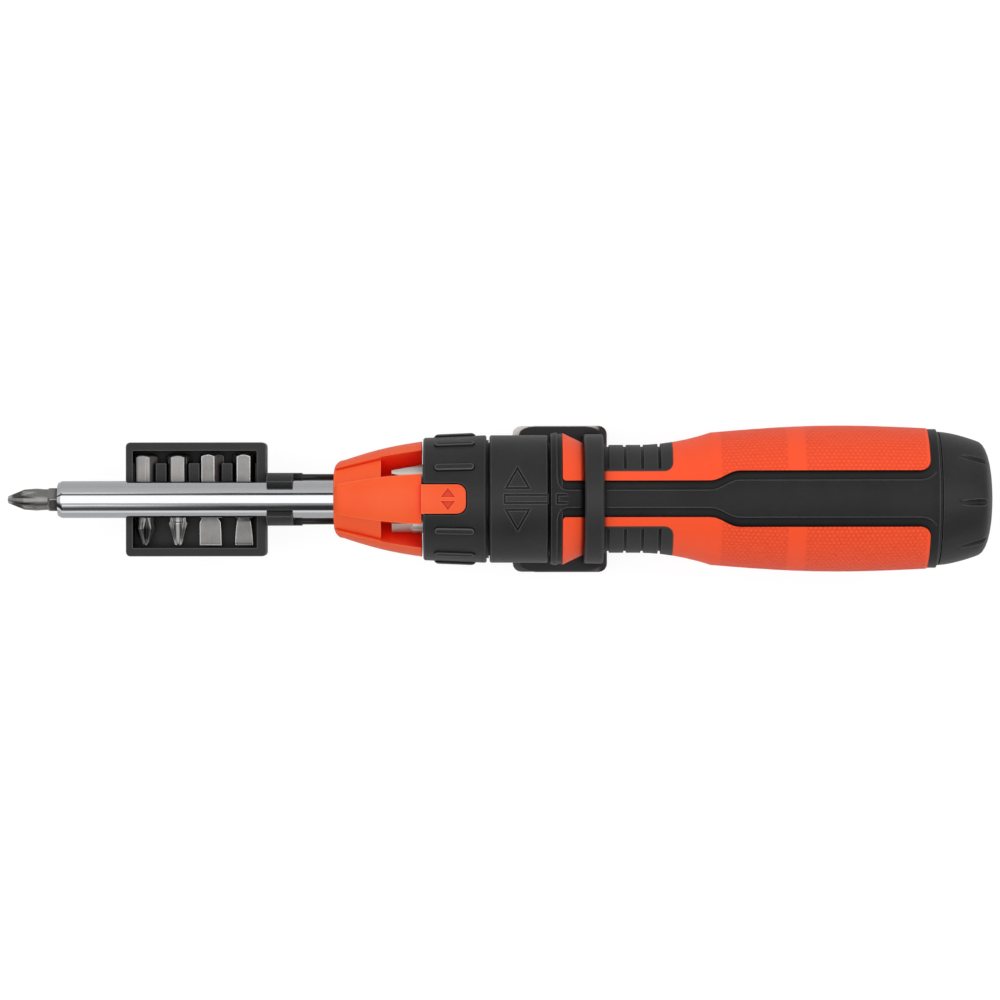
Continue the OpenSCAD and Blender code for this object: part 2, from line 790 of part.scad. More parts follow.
// Ratchet
module ratchet_gear() {
    color("gray")
        difference() {
            translate([gear_x, 0, 0]) on_axis()
                linear_extrude(height = gear_len)
                    polygon([for (i = [0 : 2 * gear_teeth - 1])
                        let (r = gear_r - (i % 2) * tooth_h, a = 180 * i / gear_teeth)
                        [r * cos(a), r * sin(a)]]);
            bar(gear_x - overrun, gear_x + gear_len + overrun, shaft_r + seat);
            drive_pin_hole();
        }
}

module drive_pin() {
    color("silver")
        translate([gear_x + gear_len / 2, 0, 0])
            cylinder(h = 2 * (gear_r - tooth_h - seat), r = drive_pin_r, center = true);
}

module front_bush() {
    color("goldenrod") tube(cover_x, cover_x + cover_t, bush_r, shaft_r + slip);
}

module rear_bush() {
    color("goldenrod")
        tube(housing_x + gear_pocket_len + seat, spigot_end_x, bush_r, shaft_r + slip);
}

module screw_places(x) {
    for (a = screw_angles)
        rotate([a, 0, 0]) translate([x, screw_circle_r, 0]) children();
}

module housing_cover() {
    color("#444444")
        difference() {
            union() {
                tube(cover_x - rim_len, cover_x + cover_lip, rim_r, bush_r + seat);
                tube(cover_x, cover_x + cover_lip, housing_r + cover_lip_rise, bush_r + seat);
                tube(cover_x, housing_x, housing_r, bush_r + seat);
            }
            screw_places(0) {
                bar(cover_x - overrun, housing_x + overrun, screw_r + seat);
                bar(cover_x - overrun, cover_x + screw_head_t + slip, screw_head_r + seat);
            }
            pawl_places() bar(housing_x - pin_overlap, housing_x + overrun, pin_r + seat);
        }
}

module cover_screws() {
    color("silver")
        screw_places(0) {
            bar(cover_x + slip, cover_x + screw_head_t + slip / 2, screw_head_r);
            bar(cover_x + screw_head_t, cover_x + screw_len, screw_r);
        }
}

// The two pawl pivots, one at each side
module pawl_places() {
    both_sides() translate([0, pivot_r * cos(pivot_angle), pivot_r * sin(pivot_angle)]) children();
}

// Pocket round one pawl, as a prism along the tool
module pawl_room() {
    reach = 2 * pawl_wall_r;
    intersection() {
        tube(housing_x - overrun, housing_x + gear_pocket_len, pawl_wall_r, gear_r - tooth_h);
        rotate([90, 0, 90])
            linear_extrude(height = housing_x + gear_pocket_len)
                polygon([[0, 0], [reach * cos(pawl_low_angle), reach * sin(pawl_low_angle)],
                    [reach, reach * sin(pawl_high_angle)],
                    [reach * cos(pawl_high_angle), reach * sin(pawl_high_angle)]]);
    }
}

module pawl_housing() {
    color("#555555")
        difference() {
            union() {
                bar(housing_x, housing_end_x, housing_r);
                hex_bar(housing_end_x - overrun, spigot_end_x, spigot_af);
            }
            bar(housing_x - overrun, housing_x + gear_pocket_len, pocket_r);
            bar(housing_x, spigot_end_x + overrun, bush_r + seat);
            both_sides() pawl_room();
            pawl_places() bar(housing_x, housing_x + gear_pocket_len + pin_overlap, pin_r + seat);
            screw_places(0) bar(housing_x - overrun, cover_x + screw_len + slip, screw_r + seat);
            translate([ball_x, 0, spring_floor_r]) cylinder(h = housing_r, r = ball_r + seat);
        }
}

pawl_x = housing_x + gear_room;
pawl_len = gear_pocket_len - 2 * gear_room;
tip_r = gear_r + pawl_tip_gap;
tip_y = tip_r * cos(pawl_tip_angle);
tip_z = tip_r * sin(pawl_tip_angle);
eye_y = pivot_r * cos(pivot_angle);
eye_z = pivot_r * sin(pivot_angle);

// Pawl at the left side. It stands at the crest of its click, clear of the teeth.
module pawl() {
    color("gray")
        translate([pawl_x, 0, 0])
            rotate([90, 0, 90])
                linear_extrude(height = pawl_len)
                    difference() {
                        union() {
                            translate([eye_y, eye_z]) circle(r = pawl_eye_r);
                            polygon([[tip_y, tip_z], [tip_y + pawl_nose_w, tip_z - pawl_tip_gap],
                                [eye_y + pawl_eye_r, eye_z], [eye_y - pawl_eye_r + slip, eye_z]]);
                        }
                        translate([eye_y, eye_z]) circle(r = pin_r + slip / 2);
                    }
}

module pawl_forward() {
    pawl();
}

module pawl_reverse() {
    mirror([0, 1, 0]) pawl();
}

module pawl_pins() {
    color("silver")
        pawl_places()
            bar(housing_x - pin_overlap + slip, housing_x + gear_pocket_len + pin_overlap - slip, pin_r);
}

pawl_spring_z = 2.6;
pawl_lift = 5;        // degrees
pawl_spring_y = tip_y + pawl_nose_w + (eye_z - pawl_spring_z) * sin(pawl_lift) + slip;
pawl_spring_len = sqrt(pow(pawl_wall_r, 2) - pow(pawl_spring_z + spring_r, 2)) - pawl_spring_y;

// Drawn pressed, as they are when a pawl is lifted
module pawl_springs() {
    color("silver")
        both_sides()
            translate([pawl_x + pawl_len / 2, pawl_spring_y, pawl_spring_z])
                rotate([-90, 0, 0]) coil(spring_r, spring_wire, spring_turns, pawl_spring_len);
}

// Outline of a shape as a thin closed line, for an engraved mark
module outline_mark(points, inner) {
    difference() {
        polygon(points);
        polygon(inner);
    }
}

module selector_marks() {
    mid_x = selector_x + selector_len * arrow_mid_share;
    inset = mark_w / tan(arrow_half_angle / 2);
    both_sides()
        linear_extrude(height = 2 * selector_r)
            outline_mark(triangle(mid_x, arrow_half, arrow_gap, arrow_tall),
                triangle(mid_x, arrow_half - inset, arrow_gap + mark_w,
                    arrow_tall * (arrow_half - inset) / arrow_half));
    linear_extrude(height = 2 * selector_r)
        outline_mark(
            [[selector_x + bar_front, -bar_half], [selector_end_x + overrun, -bar_half],
                [selector_end_x + overrun, bar_half], [selector_x + bar_front, bar_half]],
            [[selector_x + bar_front + mark_w, mark_w - bar_half],
                [selector_end_x - mark_w, mark_w - bar_half],
                [selector_end_x - mark_w, bar_half - mark_w],
                [selector_x + bar_front + mark_w, bar_half - mark_w]]);
}

arrow_half_angle = atan(arrow_tall / arrow_half);

module selector_ring() {
    edge = face_gap;
    color("#2b2b2b")
        difference() {
            turned([[selector_bore_r, selector_x], [selector_r - edge, selector_x],
                [selector_r, selector_x + edge], [selector_r, selector_end_x - edge],
                [selector_r - edge, selector_end_x], [selector_bore_r, selector_end_x]]);
            bar(selector_x - overrun, selector_x + cover_lip + slip, housing_r + cover_lip_rise + slip);
            for (a = [-selector_step, 0, selector_step])
                rotate([a, 0, 0])
                    translate([0, 0, selector_bore_r + ball_throw - ball_r])
                        bar(ball_x - 1.5 * ball_r, ball_x + 1.5 * ball_r, ball_r + slip);
            difference() {
                selector_marks();
                bar(selector_x - overrun, selector_end_x + overrun, selector_r - mark_depth);
            }
        }
}

module detent_ball() {
    color("silver") translate([ball_x, 0, ball_rest_r]) sphere(r = ball_r);
}

module detent_spring() {
    color("silver")
        translate([ball_x, 0, spring_floor_r + slip / 2])
            coil(spring_r, spring_wire, spring_turns, detent_spring_len);
}

module thrust_washer() {
    color("silver") tube(spigot_end_x + slip / 2, spigot_end_x + washer_t, washer_r, shaft_r + slip);
}

module retaining_ring() {
    color("#222222")
        difference() {
            tube(ring_x + slip / 2, ring_x + ring_t + slip / 2, ring_r, shaft_r - ring_groove + seat);
            translate([ring_x - overrun, -ring_mouth / 2, 0])
                cube([ring_t + 2 * overrun, ring_mouth, 2 * shaft_r]);
        }
}

// Handle
// Radii along the handle's outside, as [radius, x]. lift raises the whole outline.
function handle_outline(lift) = concat(
    [for (i = [0 : outline_steps]) let (t = i / outline_steps)
        [neck_d / 2 + (shoulder_d - neck_d) / 2 * t * t + lift, flare_x + (shoulder_x - flare_x) * t]],
    [for (i = [1 : outline_steps]) let (t = i / outline_steps)
        [shoulder_d / 2 + (belly_d - shoulder_d) / 2 * sin(90 * t) + lift,
            shoulder_x + (belly_x - shoulder_x) * t]],
    [for (i = [1 : outline_steps]) let (t = i / outline_steps)
        [belly_d / 2 - (belly_d - tail_d) / 2 * (1 - cos(90 * t)) + lift,
            belly_x + (grip_end_x - belly_x) * t]]);

function front_outline(lift) = [
    [flange_r + lift, flange_x + flange_len],
    [cheek_end_r + lift, neck_x],
    [neck_d / 2 + lift, neck_x]];

// Half width of the black band at a place along the handle
function band_half(t) = (band_narrow_w + (band_wide_w - band_narrow_w) * t * t * (3 - 2 * t)) / 2;

grip_x = flange_x + flange_len;

// Plan outline of the soft grip at the left side. grow moves its edges outwards.
function grip_outline(grow, front) = concat(
    [for (i = [0 : 3]) let (a = 180 + 30 * i)
        [grip_x + grip_front_corner + (grip_front_corner + front) * cos(a),
            band_narrow_w / 2 + grip_front_corner + (grip_front_corner + grow) * sin(a)]],
    [for (i = [0 : outline_steps]) let (t = i / outline_steps)
        [band_flare_x + band_flare_len * t, band_half(t) - grow]],
    arc(grip_end_x - grip_corner, band_wide_w / 2 + grip_corner, grip_corner + grow, 270, 360, 5),
    [[grip_end_x + grow, belly_d], [grip_x - front, belly_d]]);

module handle_core() {
    color("#2e2e2e")
        difference() {
            union() {
                // Core under the grips
                turned(concat([[0, grip_x - strip_w]], [[flange_r - grip_t, grip_x - strip_w]],
                    front_outline(-grip_t), handle_outline(-grip_t), [[0, grip_end_x]]));
                // Lowered strip round each grip
                difference() {
                    union() {
                        turned(concat(
                            [[0, grip_x - front_strip_w], [flange_r - flange_drop, grip_x - front_strip_w],
                                [flange_r - flange_drop, grip_x - seam]],
                            front_outline(-strip_drop), handle_outline(-strip_drop),
                            [[tail_d / 2 - strip_drop, grip_end_x + strip_w], [0, grip_end_x + strip_w]]));
                        turned([[0, grip_end_x - tail_ramp],
                            [tail_d / 2 - strip_drop, grip_end_x - tail_ramp],
                            [tail_d / 2 - tail_drop, grip_end_x],
                            [tail_d / 2 - tail_drop, grip_end_x + strip_w], [0, grip_end_x + strip_w]]);
                    }
                    both_sides() through(grip_outline(0, 0));
                }
                // Raised panel, flange and tail
                difference() {
                    turned(concat([[0, flange_x]], [[flange_r - flange_chamfer, flange_x]],
                        [[flange_r - flange_chamfer / 4, flange_x + flange_chamfer / 4]],
                        [[flange_r, flange_x + flange_chamfer]],
                        front_outline(panel_rise), handle_outline(panel_rise),
                        [[tail_d / 2, grip_end_x + tail_round], [cap_d / 2, seam_x], [0, seam_x]]));
                    both_sides() through(grip_outline(strip_w, front_strip_w));
                }
            }
            hex_bar(flange_x - overrun, spigot_end_x + slip, spigot_af + 2 * seat);
            bar(flange_x - overrun, shaft_end_x + shaft_room, nut_room_r);
            bar(bay_x, seam_x + overrun, bay_r);
            bar(seam_x - mouth_len, seam_x + overrun, mouth_r);
            difference() {
                index_mark();
                bar(flange_x - overrun, grip_x + 2 * index_len, flange_r - mark_depth - flange_drop / 2);
            }
        }
}

// Open bracket on the flange that the selector's bar lines up with
module index_mark() {
    linear_extrude(height = 2 * flange_r)
        outline_mark(
            [[flange_x + index_front, -bar_half], [flange_x + index_front + index_len, -bar_half],
                [flange_x + index_front + index_len, bar_half], [flange_x + index_front, bar_half]],
            [[flange_x + index_front + mark_w, mark_w - bar_half],
                [flange_x + index_front + index_len + overrun, mark_w - bar_half],
                [flange_x + index_front + index_len + overrun, bar_half - mark_w],
                [flange_x + index_front + mark_w, bar_half - mark_w]]);
}

// Soft skin over the core, all round
module grip_skin() {
    turned(concat(
        front_outline(0), handle_outline(0),
        [for (i = [3 * outline_steps : -1 : 0]) handle_outline(seam - grip_t)[i]],
        [for (i = [2 : -1 : 0]) front_outline(seam - grip_t)[i]]));
}

function insert_outline(grow) = concat(
    [[insert_x - grow, insert_y - grow]],
    arc(insert_end_x - insert_corner, insert_y + insert_corner, insert_corner + grow, 270, 360, 4),
    [[insert_end_x + grow, belly_d], [insert_x - grow, belly_d]]);

module grip() {
    color("orangered")
        difference() {
            intersection() {
                grip_skin();
                through(grip_outline(-seam, -seam));
            }
            through(insert_outline(seam));
        }
}

module grip_left() {
    grip();
}

module grip_right() {
    mirror([0, 1, 0]) grip();
}

module neck_insert() {
    groove_step = (insert_end_x - insert_x - groove_first - groove_last) / (groove_count - 1);
    color("#262626")
        difference() {
            intersection() {
                grip_skin();
                through(insert_outline(0));
            }
            for (i = [0 : groove_count - 1])
                difference() {
                    translate([insert_x + groove_first + i * groove_step, groove_y, -belly_d])
                        cube([groove_w, belly_d, 2 * belly_d]);
                    bar(insert_x, insert_end_x, neck_d / 2 - groove_depth);
                }
        }
}

module neck_insert_left() {
    neck_insert();
}

module neck_insert_right() {
    mirror([0, 1, 0]) neck_insert();
}

// End cap
function cap_r(u) = cap_d / 2 * (1 - cap_taper * pow(u, cap_taper_curve))
    * pow(1 - pow(max(0, u - cap_corner) / (1 - cap_corner), cap_curve), cap_flatness);

module end_cap() {
    color("#2b2b2b")
        difference() {
            union() {
                turned(concat([[0, cap_x]],
                    [for (i = [0 : cap_steps - 1]) let (u = sin(90 * i / cap_steps))
                        [cap_r(u), cap_x + cap_len * u]],
                    [[0, cap_x + cap_len]]));
                bar(seam_x - plug_len, cap_x + overrun, plug_r);
            }
            bar(seam_x - plug_len - overrun, cap_x + cap_shell, plug_r - plug_wall);
            tube(seal_x - seal_wire_r - seal_room, seal_x + seal_wire_r + seal_room, mouth_r,
                seal_mid_r - seal_wire_r - seal_room);
            for (i = [0 : flute_count - 1])
                rotate([flute_offset + 360 * i / flute_count, 0, 0])
                    translate([cap_x + cap_len - flute_back, 0,
                        cap_r(1 - flute_back / cap_len) + flute_tool_r - flute_depth])
                        rotate([0, flute_tilt, 0])
                            on_axis() cylinder(h = 2 * cap_len, r = flute_tool_r, center = true);
        }
}

module cap_seal() {
    color("black")
        translate([seal_x, 0, 0]) on_axis()
            rotate_extrude() translate([seal_mid_r, 0]) circle(r = seal_wire_r);
}

// Carrier
// One divider of the tray, or half of one against a wall
module tray_rib(x, w) {
    translate([x, divider_back_y, tray_floor_z - tray_floor / 2])
        cube([w, divider_end_y - divider_back_y, tray_top_z - divider_drop - tray_floor_z + tray_floor / 2]);
}

module bit_tray() {
    clasp_mouth = clasp_r * tan(clasp_half_angle);
    color("#303030") {
        difference() {
            union() {
                difference() {
                    translate([0, 0, tray_top_z - tray_depth])
                        linear_extrude(height = tray_depth)
                            polygon(round_rect(tray_x, -tray_w / 2, tray_len, tray_w, tray_round));
                    translate([tray_x + tray_wall, tray_side_wall - tray_w / 2, tray_floor_z])
                        cube([tray_room_len, tray_w - 2 * tray_side_wall, tray_depth]);
                }
                for (i = [0 : 2])
                    tray_rib(tray_bit_x + (i + 0.5) * tray_pitch - divider_w / 2, divider_w);
                tray_rib(tray_x + tray_wall / 2, tray_wall / 2 + rib_t);
                tray_rib(tray_x + tray_wall + tray_room_len - rib_t, tray_back_wall / 2 + rib_t);
            }
            for (i = [0 : 3])
                translate([tray_bit_x + i * tray_pitch, groove_low_y,
                    tray_bit_z + (i % 2 == 0 ? turn_lift : 0)])
                    rotate([-90, 0, 0]) cylinder(h = groove_end_y - groove_low_y, r = bit_groove_r);
        }
        difference() {
            union() {
                bar(clasp_x, clasp_end_x, clasp_r);
                translate([clasp_x, -clasp_r, tray_top_z - tray_depth])
                    cube([clasp_len, 2 * clasp_r, tray_depth - tray_top_z]);
                translate([tray_end_x - clasp_sink, -clasp_r, tray_top_z - tray_depth])
                    cube([clasp_len, 2 * clasp_r, tray_depth]);
                both_sides() translate([0, rod_y, rod_front_z])
                    bar(clasp_end_x - overrun, clasp_end_x + boss_len, boss_r);
            }
            bar(clasp_x - overrun, clasp_end_x + overrun, clasp_bore_r);
            // Mouth of the clasp
            rotate([90, 0, 90])
                linear_extrude(height = clasp_end_x + overrun)
                    polygon([[0, 0], [clasp_mouth, clasp_r], [clasp_mouth, 2 * clasp_r],
                        [-clasp_mouth, 2 * clasp_r], [-clasp_mouth, clasp_r]]);
            both_sides() translate([0, rod_y, rod_front_z])
                bar(rod_front_x - slip, clasp_end_x + 2 * boss_len, rod_r + seat);
        }
    }
}

// A bit lying across the tray, tip towards -Y. One that is turned off its flat lies higher.
module tray_place(i, turn = 0, lift = 0) {
    translate([tray_bit_x + i * tray_pitch, -bit_len / 2, tray_bit_z + lift])
        rotate([0, 0, 90]) rotate([turn, 0, 0]) children();
}

module tray_bit_phillips_short() {
    tray_place(0, -bit_turn, turn_lift) bit_phillips();
}

module tray_bit_phillips_long() {
    tray_place(1) bit_phillips(cone_tip_long);
}

module tray_bit_blade_wide() {
    tray_place(2, -bit_turn, turn_lift) bit_blade(blade_wide_w, blade_wide_root_t, blade_wide_len);
}

module tray_bit_blade_narrow() {
    tray_place(3) bit_blade(blade_narrow_w, blade_narrow_root_t);
}

// Middle line of one rod, as [x, z, slope]: straight, a bend down, a slope, a bend back
rod_bend_run = rod_bend_r * sin(rod_slope);
rod_bend_fall = rod_bend_r * (1 - cos(rod_slope));
rod_slope_end_x = rod_bend_x + rod_bend_run
    + (rod_front_z - rod_back_z - 2 * rod_bend_fall) / tan(rod_slope);
rod_line = concat(
    [[rod_front_x, rod_front_z, 0]],
    [for (i = [0 : rod_bend_steps]) let (a = rod_slope * i / rod_bend_steps)
        [rod_bend_x + rod_bend_r * sin(a), rod_front_z - rod_bend_r * (1 - cos(a)), a]],
    [for (i = [0 : rod_bend_steps]) let (a = rod_slope * (1 - i / rod_bend_steps))
        [rod_slope_end_x + rod_bend_run - rod_bend_r * sin(a), rod_back_z + rod_bend_r * (1 - cos(a)), a]],
    [[rod_back_x, rod_back_z, 0]]);

module carrier_rods() {
    color("#222222")
        both_sides()
            translate([0, rod_y, 0])
                swept([for (p = rod_line, s = [0 : rod_sides - 1]) let (b = 360 * s / rod_sides)
                    [p[0] + rod_r * sin(b) * sin(p[2]), -rod_r * cos(b), p[1] + rod_r * sin(b) * cos(p[2])]],
                    rod_sides);
}

// One rounded corner of the pad; sx and sy choose the corner
function pad_corner(sx, sy) = [
    for (i = [0 : pad_corner_steps])
        let (a = 90 * (sx * sy > 0 ? i : pad_corner_steps - i) / pad_corner_steps)
        [pad_mid_x + sx * (pad_len / 2 - pad_corner_x * (1 - cos(a))),
            sy * (pad_w / 2 - pad_corner_y * (1 - sin(a)))]];

pad_outline = concat(pad_corner(1, 1), pad_corner(-1, 1), pad_corner(-1, -1), pad_corner(1, -1));

strap_out_r = strap_in_r + strap_t;

module strap_pad() {
    color("#303030")
        difference() {
            translate([0, 0, clip_top_z]) linear_extrude(height = pad_t) polygon(pad_outline);
            both_sides() {
                translate([0, rod_y, rod_back_z]) bar(pad_x - overrun, rod_back_x + slip, rod_r + seat);
                translate([strap_x - seam, strap_in_r - seam, clip_top_z - overrun])
                    cube([strap_w + 2 * seam, strap_t + 2 * seam, pad_t + 2 * overrun]);
                translate([strap_x - seam, strap_in_r - seam, clip_top_z - overrun])
                    cube([strap_w + 2 * seam, strap_t + foot_out + 2 * seam, foot_t + overrun + seam]);
                translate([rivet_x, rivet_y, clip_top_z - overrun])
                    cylinder(h = pad_t + 2 * overrun, r = rivet_r + seat);
                translate([rivet_x, rivet_y, pad_top_z - rivet_head_t - seat])
                    cylinder(h = rivet_head_t + overrun, r = rivet_head_r + seat);
            }
        }
}

module neck_strap() {
    color("#2a2a2a") {
        intersection() {
            turned([[strap_in_r, strap_x], [strap_out_r - strap_edge, strap_x],
                [strap_out_r, strap_x + strap_edge], [strap_out_r, strap_x + strap_w - strap_edge],
                [strap_out_r - strap_edge, strap_x + strap_w], [strap_in_r, strap_x + strap_w]]);
            translate([strap_x - overrun, -belly_d, 0]) cube([strap_w + 2 * overrun, 2 * belly_d, belly_d]);
        }
        both_sides() {
            rotate([90, 0, 90])
                translate([strap_in_r, 0, strap_x])
                    mirror([0, 1, 0])
                        cube([strap_t, -clip_top_z - slip, strap_w]);
            translate([strap_x, strap_in_r, clip_top_z + slip])
                cube([strap_w, strap_t + foot_out, foot_t - slip]);
        }
    }
}

module belt_clip() {
    bend_x = clip_x + clip_len - clip_bend_r;
    color("gainsboro")
        intersection() {
            difference() {
                union() {
                    translate([clip_x + clip_upper_start, -clip_w / 2, clip_top_z - clip_t])
                        cube([bend_x - clip_x - clip_upper_start, clip_w, clip_t]);
                    translate([clip_x, -clip_w / 2, clip_low_z])
                        cube([bend_x - clip_x, clip_w, clip_t]);
                    intersection() {
                        translate([bend_x, 0, clip_top_z - clip_bend_r])
                            rotate([90, 0, 0])
                                difference() {
                                    cylinder(h = clip_w, r = clip_bend_r, center = true);
                                    cylinder(h = clip_w + overrun, r = clip_bend_r - clip_t, center = true);
                                }
                        translate([bend_x, -clip_w, clip_low_z - overrun])
                            cube([2 * clip_bend_r, 2 * clip_w, 2 * clip_bend_r + 2 * overrun]);
                    }
                }
                both_sides()
                    translate([rivet_x, rivet_y, clip_top_z - clip_t - overrun])
                        cylinder(h = clip_t + 2 * overrun, r = rivet_r + seat);
            }
            translate([0, 0, clip_low_z - overrun])
                linear_extrude(height = 2 * clip_bend_r + 2 * overrun)
                    polygon(round_rect(clip_x, -clip_w / 2, clip_len, clip_w, clip_corner));
        }
}

module clip_rivets() {
    color("silver")
        both_sides()
            translate([rivet_x, rivet_y, 0]) {
                translate([0, 0, clip_top_z - clip_t - slip / 2])
                    cylinder(h = pad_t + clip_t, r = rivet_r);
                translate([0, 0, pad_top_z - rivet_head_t])
                    cylinder(h = rivet_head_t, r = rivet_head_r);
                translate([0, 0, clip_top_z - clip_t - rivet_tail])
                    cylinder(h = rivet_tail, r = rivet_head_r);
            }
}

fitted_bit();
shaft_tube();
socket_insert();
socket_magnet();
magazine_nose();
finger_collar();
magazine_drum();
stored_bit_slotted();
stored_bit_square();
stored_bit_star();
stored_bit_phillips();
ratchet_gear();
drive_pin();
front_bush();
rear_bush();
housing_cover();
cover_screws();
pawl_housing();
pawl_forward();
pawl_reverse();
pawl_pins();
pawl_springs();
selector_ring();
detent_ball();
detent_spring();
thrust_washer();
retaining_ring();
handle_core();
grip_left();
grip_right();
neck_insert_left();
neck_insert_right();
end_cap();
cap_seal();
bit_tray();
tray_bit_phillips_short();
tray_bit_phillips_long();
tray_bit_blade_wide();
tray_bit_blade_narrow();
carrier_rods();
strap_pad();
neck_strap();
belt_clip();
clip_rivets();
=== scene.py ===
# %% [markdown]
# # A ratcheting screwdriver with a bit tray on a belt clip
#
# The tool lies with its bit to the left, along +X, on the clip under its handle. The solids of
# every part are already there, each in its true place. This lesson dresses them: parts that the
# eye meets are copied and given rounded edges, parts with a drawn or moulded skin get a material
# that carries it, and parts hidden inside only get their finish.

# %% Load the solids
import json
import math

import bmesh
import bpy
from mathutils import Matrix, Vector


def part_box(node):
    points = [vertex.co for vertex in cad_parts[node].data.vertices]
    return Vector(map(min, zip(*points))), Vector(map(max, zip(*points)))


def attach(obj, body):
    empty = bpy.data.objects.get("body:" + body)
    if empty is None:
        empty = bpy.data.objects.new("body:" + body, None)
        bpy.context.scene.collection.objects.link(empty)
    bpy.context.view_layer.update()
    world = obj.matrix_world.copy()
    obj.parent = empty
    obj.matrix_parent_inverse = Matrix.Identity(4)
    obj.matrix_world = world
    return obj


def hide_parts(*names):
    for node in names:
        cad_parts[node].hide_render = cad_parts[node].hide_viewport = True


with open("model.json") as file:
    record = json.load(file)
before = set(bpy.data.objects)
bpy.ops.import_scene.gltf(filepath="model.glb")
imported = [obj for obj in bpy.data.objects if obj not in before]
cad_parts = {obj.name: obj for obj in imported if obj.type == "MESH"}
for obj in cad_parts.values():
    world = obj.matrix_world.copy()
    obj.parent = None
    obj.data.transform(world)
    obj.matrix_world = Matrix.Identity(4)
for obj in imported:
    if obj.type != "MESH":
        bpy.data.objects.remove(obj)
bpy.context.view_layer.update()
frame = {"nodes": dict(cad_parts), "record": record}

# %% [markdown]
# ## Sizes
#
# Lengths are written in millimetres, as a workshop drawing has them, and turned into metres with
# MM. The shaft's ends and radius and the floor's height are read from the boxes of the solids, so
# the dressing follows them; most other places along the tool are given as numbers.

# %% Sizes read from the solids
MM = 0.001
X_AXIS = Vector((1, 0, 0))
Y_AXIS = Vector((0, 1, 0))
UP = Vector((0, 0, 1))
TOOL_MIDDLE_X = 130 * MM


def low(node):
    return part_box(node)[0]


def high(node):
    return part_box(node)[1]


SHAFT_X0 = low("shaft_tube").x
SHAFT_X1 = high("shaft_tube").x
SHAFT_R = high("shaft_tube").z
FLOOR_Z = low("belt_clip").z - 0.1 * MM
print("Shaft from", round(SHAFT_X0, 4), "to", round(SHAFT_X1, 4), "radius", round(SHAFT_R, 5))

# %% [markdown]
# ## Colours and shared effects
#
# Four effects turn up in several finishes: the fine pebble of a moulded surface, the lines that
# grinding leaves on steel, a painted highlight along edges, and painted shade in narrow
# grooves. A fifth group only tells where a point lies: how far along the tool, how far from its
# axis, at which turn round it and how far to its side. Each is built once as a node group and
# placed in a material with its own values.


# %% Node helpers
def srgb(red, green, blue):
    """Turns an ordinary screen colour into the linear one that shading works with."""
    parts = []
    for value in (red, green, blue):
        share = value / 255
        parts.append(share / 12.92 if share <= 0.04045 else ((share + 0.055) / 1.055) ** 2.4)
    return (*parts, 1)


def new_group(name, inputs, outputs):
    group = bpy.data.node_groups.new(name, "ShaderNodeTree")
    for label, kind, value in inputs:
        socket = group.interface.new_socket(label, in_out="INPUT", socket_type=kind)
        socket.default_value = value
    for label, kind in outputs:
        group.interface.new_socket(label, in_out="OUTPUT", socket_type=kind)
    return group, group.nodes.new("NodeGroupInput"), group.nodes.new("NodeGroupOutput")


def add(tree, kind, links=None, **settings):
    """Adds one node, sets its properties and values, and links sockets into its inputs."""
    node = tree.nodes.new(kind)
    for key, value in settings.items():
        if hasattr(node, key):
            setattr(node, key, value)
        else:
            node.inputs[key.replace("_", " ")].default_value = value
    for key, source in (links or {}).items():
        tree.links.new(source, node.inputs[key])
    return node


def maths(tree, operation, first, second=None, clamp=False):
    node = tree.nodes.new("ShaderNodeMath")
    node.operation = operation
    node.use_clamp = clamp
    for place, value in enumerate((first, second)):
        if value is None:
            continue
        if isinstance(value, (int, float)):
            node.inputs[place].default_value = value
        else:
            tree.links.new(value, node.inputs[place])
    return node.outputs[0]


def product(tree, first, *others):
    """Multiplies two or more values."""
    for other in others:
        first = maths(tree, "MULTIPLY", first, other)
    return first


def rise(tree, value, start, width):
    """Nothing below start, one from start + width on, and a straight rise between."""
    return maths(tree, "DIVIDE", maths(tree, "SUBTRACT", value, start), width, clamp=True)


def between(tree, value, lowest, highest):
    """One where the value lies between two numbers, nothing elsewhere."""
    return product(tree, maths(tree, "GREATER_THAN", value, lowest),
                   maths(tree, "LESS_THAN", value, highest))


def map_range(tree, value, start, end, at_start=0.0, at_end=1.0):
    """Maps a value from one range to another, and holds it at the ends."""
    return add(tree, "ShaderNodeMapRange", {"Value": value}, From_Min=start, From_Max=end,
               To_Min=at_start, To_Max=at_end).outputs[0]


def blend_colour(tree, share, first, second):
    node = tree.nodes.new("ShaderNodeMix")
    node.data_type = "RGBA"
    for label, value in (("Factor", share), ("A", first), ("B", second)):
        socket = next(s for s in node.inputs if s.name == label and s.enabled)
        if isinstance(value, (int, float, tuple)):
            socket.default_value = value
        else:
            tree.links.new(value, socket)
    return next(s for s in node.outputs if s.enabled)


# %% Shared effect: moulded grain
def make_grain_group():
    group, given, out = new_group(
        "moulded_grain",
        [("Size", "NodeSocketFloat", 2500.0), ("Height", "NodeSocketFloat", 0.1)],
        [("Normal", "NodeSocketVector"), ("Mottle", "NodeSocketFloat")])
    place = add(group, "ShaderNodeTexCoord").outputs["Object"]
    fine = add(group, "ShaderNodeTexNoise", {"Vector": place, "Scale": given.outputs["Size"]},
               Detail=3.0)
    broad = add(group, "ShaderNodeTexNoise", {"Vector": place},
                Scale=70.0, Detail=4.0, Roughness=0.6)
    bump = add(group, "ShaderNodeBump",
               {"Height": fine.outputs["Fac"], "Strength": given.outputs["Height"]},
               Distance=0.2 * MM)
    group.links.new(bump.outputs["Normal"], out.inputs["Normal"])
    group.links.new(broad.outputs["Fac"], out.inputs["Mottle"])
    return group


GRAIN = make_grain_group()


